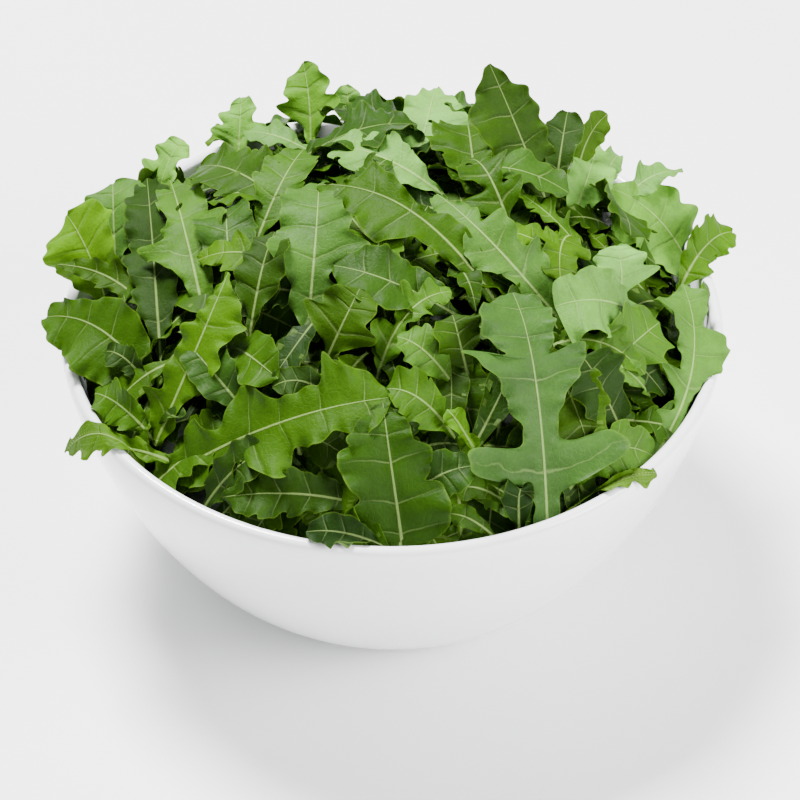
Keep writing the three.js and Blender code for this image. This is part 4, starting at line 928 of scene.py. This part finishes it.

# %% [markdown]
# ## The leaves on top
# The large leaves that show are placed one by one, each where the real one lies. A row says
# the kind, where the stalk and the tip are seen from above, how high the tip and the middle
# stand over the heap, how far the leaf bows to its left, its reach, its roll, and its
# colour: how yellow it is and how pale. Both are partly the leaf's own colour and partly
# painted light: yellower where light shines through from behind, paler where light and sheen
# fall on it, darker where it lies in shade.

# %% Leaves placed one by one
# The last two numbers are partly painted light: painted backlight in the yellow, painted light, sheen
# and shade in the paleness.
TOP_LEAVES = [
    # At the back, standing or leaning outwards
    ("winged", -30, 61, -33, 88, 34, 14, -1, 14, 0, 0.3, 0.78),
    ("strap", -17, 78, -18, 90, 20, 9, -1, 5, 0, 0.05, 0.95),
    ("broad", -9, 46, -11, 84, 10, 2, 0, 8, 0, 0.1, 1),
    ("winged", -57, 60, -56, 84, 27, 13, 0, 11, 30, 0.15, 0.92),
    ("winged", -89, 44, -77, 64, 22, 14, 1, 13, 35, 0.15, 1),
    ("cloaked", 8, 45, 16, 88, 18, 6, -1, 17, 0, 0, 1),
    ("pointed", 59, 22, 35, 56, 39, 12, -1, 16, -40, 1, 0.3),
    ("strap", 58, 23, 64, 56, 29, 14, 0, 7.5, -45, 1, 0.24),
    ("strap", 66, 36, 79, 64, 36, 16, 3, 6, 0, 1, 0.45),
    ("broad", 63, 18, 76, 62, 21, 6, -1, 8.5, 0, 0.05, 1),
    ("strap", 74, 42, 84, 64, 20, 11, 0, 5, 0, 0, 0.92),
    ("spear", 79, 42, 108, 62, 36, 17, 2, 7, 0, 0, 0.9),
    ("strap", -23, 54, -55, 68, 12, 4, 1, 6, -20, 0, 0.8),
    ("toothed", 21, 23, -22, 43, 4, 4, 4, 11, -20, 0, 0.92),
    ("toothed", -50, -1, -32, 41, 5, 3, -1, 10, 15, 0.27, 0.53),
    # On the left
    ("broad", -101, 22, -103, 52, 27, 16, 0, 13, 35, 0.1, 0.68),
    ("broad", -100, -3, -118, 27, 40, 20, 0, 15, 15, 0.7, 0.7),
    ("spear", -83, -17, -121, 12, 30, 8, -4, 7, 0, 0.85, 0.38),
    ("toothed", -81, -40, -90, 50, 18, 4, 0, 12, 15, 1, 0.24),
    ("hooked", -65, -30, -82, 51, 11, 6, 1, 19, 15, 0.25, 0.6),
    ("paddle", -85, -41, -124, -4, 22, 9, -2, 17, 0, 0.5, 0.42),
    ("toothed", -85, -42, -101, -29, 6, 4, 1, 5.5, 0, 0.8, 0.25),
    ("stepped", -83, -62, -57, -26, 9, 6, -4, 15, 10, 0.55, 0.56),
    ("toothed", -83, -61, -105, -41, 5, 3, 1, 8, 0, 0.4, 0.5),
    ("spear", -73, -73, -116, -54, 7, 5, 2, 8, 0, 0.75, 0.5, "over"),
    # In the middle
    ("broad", -50, -42, -41, -9, 5, 4, 0, 9, 0, 0.85, 0.3),
    ("flagged", -29, -41, -26, 14, 5, 6, -1, 19, 0, 0.1, 0.58),
    ("lobed", 44, 2, 28, 31, 5, 8, 1, 12, -30, 0.4, 0.4),
    ("wedged", 39, -32, -26, 12, 6, 8, -2.5, 15, -20, 0.5, 0.41),
    ("pronged", 59, -28, 16, 9, 3, 5, 6, 15, -20, 0.1, 0.66),
    ("broad", 27, -39, -20, -28, 4, 4, 4, 12, 0, 0.3, 0.37),
    ("winged", -25, -58, -11, -43, 9, 5, -2, 17, 0, 1, 0.36),
    ("broad", -21, -67, -41, -68, 3, 2, 0, 6, 0, 1, 0.25),
    ("broad", 27, -61, 21, -48, 4, 3, 1, 9, 0, 0.9, 0.33),
    ("toothed", 23, -64, 2, -57, 4, 3, 1, 8, 0, 0.25, 0.62),
    ("toothed", 23, -80, -2, -74, 4, 4, 0, 9, 0, 0.4, 0.52),
    ("strap", 30, -83, 19, -79, 4, 3, 2, 4, 0, 0.45, 0.66),
    # On the right
    ("draped", 116, 24, 79, 45, 7, 7, -9, 15, -40, 0.18, 0.84),
    ("toothed", 104, 18, 126, 44, 34, 17, 1, 9, 0, 0.45, 0.6),
    ("winged", 81, -16, 80, 1, 8, 5, -1, 15, -25, 0, 1),
    ("cupped", 95, -13, 57, -35, 3, 7, 3, 14, -10, 0.05, 0.82),
    ("broad", 83, -64, 66, -51, 5, 3, 1, 11, -15, 0.9, 0.22),
    ("strap", 92, -41, 76, -46, 3, 2, 3, 5, 0, 0.2, 0.7),
    ("sprawled", 88, -68, 105, 5, 8, 6, -10, 17, -20, 0.12, 0.7),
    ("strap", 108, 0, 118, 19, 10, 6, -1, 5, 0, 0.6, 0.55),
    ("strap", 60, -92, 92, -80, 11, 6, -1, 5, 0, 1, 0.5, "over"),
    # In front
    ("ragged", -80, -74, 0, -77, 5, 5, -5, 20, 0, 0.5, 0.45),
    ("broad", -68, -90, -42, -86, 3, 2, 0, 8, 0, 0.8, 0.26),
    ("toothed", -7, -98, -58, -94, 3, 3, 3, 9, 0, 0.65, 0.3),
    ("oval", 4, -109, -3, -79, 6, 6, 1, 16, 0, 0.35, 0.37),
    ("strap", 41, -94, 20, -100, 4, 1, 0, 5, 0, 0.7, 0.37),
    ("broad", 44, -102, 45, -95, 2, 3, 1, 6, 0, 0.75, 0.17),
    ("strap", 39, -105, 19, -106, 4, 3, 1, 4, 0, 0.6, 0.35),
    ("broad", 0, -109, -29, -112, 10, 9, 3, 6, 0, 0.75, 0.18, "over"),
    ("giant", 54, -104, 42, -37, 6, 8, -2, 30, 0, 0, 0.54),
]
print(len(TOP_LEAVES), "leaves placed by hand")

# %% [markdown]
# ## The leaves between
# Where no large leaf lies, smaller ones fill the place. A sunflower spiral visits the heap
# evenly, and a leaf is laid only where it is still bare. Chance gives each its length and turn,
# from a formula with a fixed start, so that the heap is the same on every run. How yellow and
# how pale it is goes round in steps, so that two neighbours seldom look alike.

# %% Leaves in bare places
FILL_PLACES = 260
FILL_SPREAD = 110
FILL_CLEARANCE = 2.5
COVERED_SHARE = 0.5
FILL_KINDS = ("toothed", "broad", "spear", "broad", "lobed", "toothed", "crowned")
FILL_SLENDER = 0.26
BACK = {"starts": 25, "length": (40, 62), "lift": (4, 16), "arch": 6}
FRONT = {"length": (26, 42), "lift": (1, 5), "arch": 2}
ALONG_RIM = 88
GOLDEN_ANGLE = math.pi * (3 - math.sqrt(5))
SEED = 7


def seeded(start):
    """Random numbers from 0 to 1, the same on every run."""
    state = start
    while True:
        state = (state * 1664525 + 1013904223) % 4294967296
        yield state / 4294967296


def bareness(x, y, leaves):
    """How far a place is from the nearest leaf, past the part of its reach that covers."""
    bare = math.inf
    place = np.array([x, y])
    for leaf in leaves:
        start, end = np.array(leaf[1:3], float), np.array(leaf[3:5], float)
        run = end - start
        share = np.clip(np.dot(place - start, run) / np.dot(run, run), 0, 1)
        away = float(np.linalg.norm(place - start - run * share))
        bare = min(bare, away - COVERED_SHARE * leaf[8])
    return bare


def fill_leaves(top_leaves):
    """Leaves for the bare places: along the rim they follow it, elsewhere they turn any way."""
    draws = seeded(SEED)

    def between(limits):
        return limits[0] + (limits[1] - limits[0]) * next(draws)

    leaves = []
    for i in range(FILL_PLACES):
        angle = i * GOLDEN_ANGLE
        radius = FILL_SPREAD * math.sqrt((i + 0.5) / FILL_PLACES)
        x = radius * math.cos(angle)
        y = radius * math.sin(angle)
        if bareness(x, y, top_leaves + leaves) < FILL_CLEARANCE:
            continue
        part = BACK if y > BACK["starts"] else FRONT
        length = between(part["length"])
        if radius > ALONG_RIM:
            turn = math.pi / 2 + between((-0.6, 0.6))
        else:
            turn = between((0, 2 * math.pi))
        half_x = length / 2 * math.cos(angle + turn)
        half_y = length / 2 * math.sin(angle + turn)
        kind = FILL_KINDS[len(leaves) % len(FILL_KINDS)]
        lift = between(part["lift"])
        bow = between((-4, 4))
        reach = FILL_SLENDER * length * between((0.85, 1.25))
        roll = between((-14, 14))
        tone = 0.1 + 0.6 * ((len(leaves) * 0.29 + 0.2) % 1)
        pale = 0.32 + 0.3 * ((len(leaves) * 0.41 + 0.3) % 1)
        leaves.append((
            kind, x - half_x, y - half_y, x + half_x, y + half_y,
            lift, part["arch"], bow, reach, roll, tone, pale,
        ))
    return leaves


FILLED = fill_leaves(TOP_LEAVES)
print(len(FILLED), "leaves in bare places")

# %% [markdown]
# Below them lie more leaves in the shade, in two layers. No one sees them one by one, but they
# give the gaps their depth. They are given a low paleness, so their darker green is partly
# painted shade.

# %% Leaves in the shade
UNDER_SPREAD = 112
UNDER_KINDS = ("broad", "toothed", "lobed", "strap", "spear", "toothed")


def under_leaves(count, length, lift, reach_share, seed):
    """Small leaves spread all over the heap at one depth, turned any way."""
    draws = seeded(seed)
    leaves = []
    for i in range(count):
        angle = i * GOLDEN_ANGLE + 0.3
        radius = UNDER_SPREAD * math.sqrt((i + 0.5) / count)
        long = length[0] + (length[1] - length[0]) * next(draws)
        turn = 2 * math.pi * next(draws)
        half_x = long / 2 * math.cos(turn)
        half_y = long / 2 * math.sin(turn)
        x = radius * math.cos(angle)
        y = radius * math.sin(angle)
        high = lift[0] + (lift[1] - lift[0]) * next(draws)
        reach = long * reach_share * (0.7 + 0.6 * next(draws))
        leaves.append((
            UNDER_KINDS[i % len(UNDER_KINDS)], x - half_x, y - half_y, x + half_x, y + half_y,
            high, high + 2 * next(draws), 6 * next(draws) - 3, reach, 50 * next(draws) - 25,
            # how yellow, then a low paleness: their darker green is partly painted shade
            0.3 + 0.6 * next(draws), 0.2 + 0.3 * next(draws),
        ))
    return leaves


MIDDLE = under_leaves(count=120, length=(26, 42), lift=(-9, -3), reach_share=0.24, seed=21)
DEEP = under_leaves(count=120, length=(28, 44), lift=(-18, -10), reach_share=0.3, seed=5)
print(len(MIDDLE), "leaves below and", len(DEEP), "deep down")

# %% [markdown]
# ## One piece for each kind
# All leaves of a kind are joined to one mesh, because hundreds of single objects are slow to
# work with. A bake needs every skin of every leaf on a spot of its own, so a map lays them
# out in cells. How fine a leaf is depends on where it lies and on its size.

# %% Cells and detail
LARGE_REACH = 12
CELL_MARGIN = 0.08
CELL_LENGTH = 0.76
CELL_REACH = 0.4
LONGEST = 1.12


def cell_map(points, cell, cells):
    """A flat leaf in its own cell of a square sheet."""
    column, line = cell % cells, cell // cells
    across = (column + CELL_MARGIN + CELL_LENGTH * np.clip(points[:, 0], 0, LONGEST)) / cells
    up = (line + 0.5 + CELL_REACH * points[:, 1]) / cells
    return np.column_stack([across, up])


def detail_of(number, leaf):
    """The large leaves that show are fine, those in the shade are coarse."""
    if number >= len(TOP_LEAVES) + len(FILLED):
        return SHADED
    return FINE if leaf[8] >= LARGE_REACH and number < len(TOP_LEAVES) else COARSE


print("of the leaves on top,", sum(leaf[8] >= LARGE_REACH for leaf in TOP_LEAVES), "are fine")

# %% [markdown]
# Each leaf keeps its flat shape as a UV map in decimetres, so that the midrib and the fine net
# run the right way on it. A second map says how far along the leaf and how near its edge a
# point is, and a third counts the side veins. A leaf's colour, the gap between its veins, and
# its underside are attributes.

# %% Joining leaves
def add_leaves(group, leaves):
    """A group of leaves as one mesh."""
    cells = math.ceil(math.sqrt(2 * len(leaves)))
    places, faces = [], []
    maps = {"Flat": [], "Share": [], "Veins": [], "OFBake": []}
    values = {"tone": [], "pale": [], "gap": [], "under": []}
    start = 0
    for order, (number, leaf) in enumerate(leaves):
        kind, level = leaf[0], detail_of(number, leaf)
        points = flat[kind, level][0]
        laid, length, veins = laid_leaf(leaf, number, points)
        places.append(laid * MM)
        skin = skins[kind, level] + start
        faces.append(skin if number % 2 else skin[:, ::-1])
        size = np.column_stack([points[:, 0] * length, points[:, 1] * leaf[8]]) / 100
        share = points[:, [0, 3]]
        phase = np.column_stack([veins, np.full(len(points), 0.5)])
        for name, both in (("Flat", size), ("Share", share), ("Veins", phase)):
            maps[name] += [both, both]
        maps["OFBake"].append(cell_map(points, 2 * order, cells))
        maps["OFBake"].append(cell_map(points, 2 * order + 1, cells))
        values["tone"].append(np.full(len(laid), leaf[10]))
        values["pale"].append(np.full(len(laid), leaf[11]))
        values["gap"].append(np.full(len(laid), length / len(VEINS[kind])))
        values["under"].append(np.repeat([0.0, 1.0], len(points)))
        start += len(laid)
    faces = np.vstack(faces)
    mesh = bpy.data.meshes.new("rocket_" + group)
    mesh.from_pydata(np.vstack(places).tolist(), [], faces.tolist())
    for name, parts in maps.items():
        layer = mesh.uv_layers.new(name=name)
        layer.data.foreach_set("uv", np.vstack(parts)[faces.ravel()].ravel())
    for name, parts in values.items():
        attribute = mesh.attributes.new(name, "FLOAT", "POINT")
        attribute.data.foreach_set("value", np.concatenate(parts))
    piece = bpy.data.objects.new("rocket_" + group, mesh)
    bpy.context.collection.objects.link(piece)
    bpy.ops.object.select_all(action="DESELECT")
    piece.select_set(True)
    bpy.context.view_layer.objects.active = piece
    bpy.ops.object.shade_smooth_by_angle(angle=math.radians(60))
    return piece


print("leaves in all:", len(TOP_LEAVES + FILLED + MIDDLE + DEEP))

# %% [markdown]
# The common kinds are a piece each. The kinds laid once are large leaves with many faces, and
# they are shared out over two pieces, so that neither of them grows too heavy.

# %% Leaf pieces
everything = list(enumerate(TOP_LEAVES + FILLED + MIDDLE + DEEP))
sorts = {}
for number, leaf in everything:
    sorts.setdefault(leaf[0], []).append((number, leaf))
groups = {kind: leaves for kind, leaves in sorts.items() if len(leaves) > 1}
single = [leaves[0] for leaves in sorts.values() if len(leaves) == 1]
groups["large"] = single[::2]
groups["larger"] = single[1::2]
leaf_pieces = []
for group, chosen in groups.items():
    piece = add_leaves(group, chosen)
    leaf_pieces.append(piece)
    print(piece.name, len(chosen), "leaves", 2 * len(piece.data.polygons), "triangles")

# %% [markdown]
# ## The look of a rocket leaf
# A rocket leaf has a dull satin skin, bluish green on a full-grown blade and yellow-green on a
# young one; the yellow-green of a backlit leaf is painted light. The finish first asks what a
# place on a leaf is: how far along it, how near the edge, how close to which vein, and how
# yellow and how pale its leaf is. How pale it is partly paints the light, sheen and shade that
# the leaf gets. Two leaves never get the same clouds, because their colour also moves the noise.

# %% Places on a leaf
def leaf_inputs(finish):
    """What a place on a leaf knows about itself."""
    def part_of(name, out):
        place = finish.node("ShaderNodeUVMap", {"uv_map": name})
        return finish.node("ShaderNodeSeparateXYZ", sockets={"Vector": place}, out=out)

    inputs = {
        "across": abs(part_of("Flat", "Y")) * 100,
        "along": part_of("Share", "X"),
        "edge": part_of("Share", "Y"),
        "veins": part_of("Veins", "X"),
    }
    for name in ("tone", "pale", "gap", "under"):
        inputs[name] = finish.node("ShaderNodeAttribute", {"attribute_name": name}, out="Fac")
    return inputs


def leaf_noise(finish, own, scale, detail):
    """Uneven patches, different on every leaf."""
    return finish.node("ShaderNodeTexNoise", {"noise_dimensions": "4D"}, {
        "Vector": finish.node("ShaderNodeUVMap", {"uv_map": "Flat"}), "Scale": scale,
        "Detail": detail, "W": own["tone"] * 9 + own["pale"] * 5,
    })


print("a place on a leaf knows eight things about itself")

# %% [markdown]
# Clouds of three sizes make the green uneven. A pale midrib runs to the tip, pale side veins
# leave it at a slant in a sunken crease, painted a little darker as shade, and a fine net of veins
# puckers the blade. The edge is a little yellower and the underside paler. Some light passes
# through a leaf, so a see-through shader is mixed in. Its share, and not its colour, grows with
# how pale and thin the leaf is.

# %% Leaf finish
def leaf_finish():
    """Satin green with pale veins, and a little light from behind."""
    finish = Finish("rocket_leaf")
    own = leaf_inputs(finish)
    patch = leaf_noise(finish, own, 5.0, 3.0)
    grain = leaf_noise(finish, own, 80.0, 3.0)
    swell = leaf_noise(finish, own, 11.0, 1.0)
    net = finish.node("ShaderNodeTexVoronoi", {"feature": "DISTANCE_TO_EDGE"}, {
        "Vector": finish.node("ShaderNodeUVMap", {"uv_map": "Flat"}), "Scale": 42.0,
    })
    thread = 1 - net.step(0.0, 0.09)

    rib_width = 0.66 - own["along"] * 0.52
    rib = 1 - (own["across"] / rib_width).step(0.35, 1.3)
    phase = own["veins"] + (patch - 0.5) * 0.35
    vein_distance = abs((phase + 0.5).fraction() - 0.5) * own["gap"]
    vein_width = 0.22 - own["edge"] * 0.15
    vein = (1 - (vein_distance / vein_width).step(0.3, 1.4)) * (1 - own["edge"] * 0.8)
    crease = 1 - (vein_distance / own["gap"]).step(0.0, 0.14)
    lines = (rib * (0.75 - own["along"] * 0.2)).math("MAXIMUM", vein * 0.3)

    # Paleness is partly the leaf's own tone and partly painted light: it runs the green from a very dark
    # end, painted shade, to a pale bluish end, partly painted sheen, and darkens the whole blade when
    # low.
    light = own["pale"] ** 2
    green = finish.mix(light, linear(8, 30, 2), linear(120, 166, 92))
    young = finish.mix(light, linear(16, 40, 0), linear(128, 186, 26))
    blade = finish.mix(own["tone"], green, young)
    # The crease term darkens the blade beside each vein: painted shade in the sunken crease.
    value = 0.22 + patch * 0.8 + swell * 0.35 + grain * 0.42 + thread * 0.12 - crease * 0.16
    value = value * (0.71 + light * 0.29)
    blade = finish.node("ShaderNodeHueSaturation", sockets={
        "Saturation": 1.15, "Value": value, "Color": blade,
    })
    blade = finish.mix(own["edge"].step(0.93, 1.0) * 0.12, blade, linear(132, 174, 50))
    blade = finish.mix(own["under"] * 0.2, blade, linear(120, 152, 70))
    blade = finish.mix(lines * (0.3 + own["pale"] * 0.5), blade, linear(172, 202, 116))

    height = rib * 0.3 - crease * 0.3 - thread * 0.06 + grain * 0.26 + swell * 1.8
    relief = finish.node("ShaderNodeBump", sockets={
        "Height": height, "Strength": 0.8, "Distance": MM,
    })
    rough = 0.42 + own["tone"] * 0.16 + grain * 0.12
    skin = finish.node("ShaderNodeBsdfPrincipled", sockets={
        "Base Color": blade, "Roughness": rough, "Normal": relief, "Specular IOR Level": 0.1,
    })
    glow = finish.node("ShaderNodeBsdfTranslucent", sockets={"Color": linear(122, 174, 60)})
    thin = 0.06 + light * 0.24
    return finish.finish_with(finish.node("ShaderNodeMixShader", sockets={0: thin, 1: skin, 2: glow}))


leaf_material = leaf_finish()
for piece in leaf_pieces:
    piece.data.materials.append(leaf_material)
    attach(piece, "root")
    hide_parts("leaf_heap")
print("leaf finish on", len(leaf_pieces), "pieces")

# %% [markdown]
# ## The dark core
# Under all leaves lies a dome that fills the bowl, smaller than the heap. It stands for the
# packed leaves that nobody sees, and it keeps light from shining through the heap.

# %% Core
CORE_DEPTH = 20.0
CORE_BUMP = 2.5
CORE_FALL = 6
CORE_GAP = 1.0
CORE_TOP = 22
CORE_SIDE = 26


def core_place(turn, tilt):
    """A place on the core: tilt runs from the top over the edge to the middle of the floor."""
    if tilt <= math.pi / 2:
        radius = (inside_radius(BOWL_HEIGHT - CORE_TOP) - CORE_GAP) * math.sin(tilt)
        x, y = radius * math.cos(turn), radius * math.sin(turn)
        high = heap_height(x, y) - CORE_DEPTH - CORE_FALL * math.sin(tilt) ** 8
        bump = math.sin(x / 9 + 1.3) * math.cos(y / 8) + 0.6 * math.sin((x - y) / 13)
        return x, y, float(high + CORE_BUMP * bump)
    down = (tilt - math.pi / 2) / (math.pi / 2)
    height = FLOOR + CORE_GAP + (BOWL_HEIGHT - CORE_SIDE - FLOOR) * max(1 - down * 1.25, 0)
    radius = (float(inside_radius(height)) - CORE_GAP) * min(1, (1 - down) * 5)
    return radius * math.cos(turn), radius * math.sin(turn), height


def add_core():
    """A sphere whose rings are moved to the dome and the wall."""
    bpy.ops.object.select_all(action="DESELECT")
    bpy.ops.mesh.primitive_uv_sphere_add(segments=72, ring_count=48, radius=1)
    core = bpy.context.object
    core.name = "packed_core"
    for vert in core.data.vertices:
        turn = math.atan2(vert.co.y, vert.co.x)
        tilt = math.acos(max(-1, min(1, vert.co.z)))
        vert.co = Vector(core_place(turn, tilt)) * MM
    bpy.ops.object.shade_smooth()
    return core


core = add_core()
print("core", [round(v / MM, 1) for v in core.dimensions])

# %% [markdown]
# What shows of the core, deep in a gap, has to look like more leaves in the shade, so its
# finish is a very dark green in clumps.

# %% Core finish
def core_finish():
    """Dark green in clumps."""
    finish = Finish("shaded_leaves")
    place = finish.node("ShaderNodeTexCoord", out="Object")
    clump = finish.node("ShaderNodeTexNoise", sockets={"Vector": place, "Scale": 160.0, "Detail": 4.0})
    colour = finish.mix(clump.step(0.4, 0.65), linear(10, 22, 3), linear(30, 52, 10))
    relief = finish.node("ShaderNodeBump", sockets={
        "Height": clump, "Strength": 0.6, "Distance": 2 * MM,
    })
    return finish.finish_with(finish.node("ShaderNodeBsdfPrincipled", sockets={
        "Base Color": colour, "Roughness": 0.6, "Normal": relief,
    }))


core.data.materials.append(core_finish())
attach(core, "root")
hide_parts("leaf_heap")
print("core finish", core.data.materials[0].name)
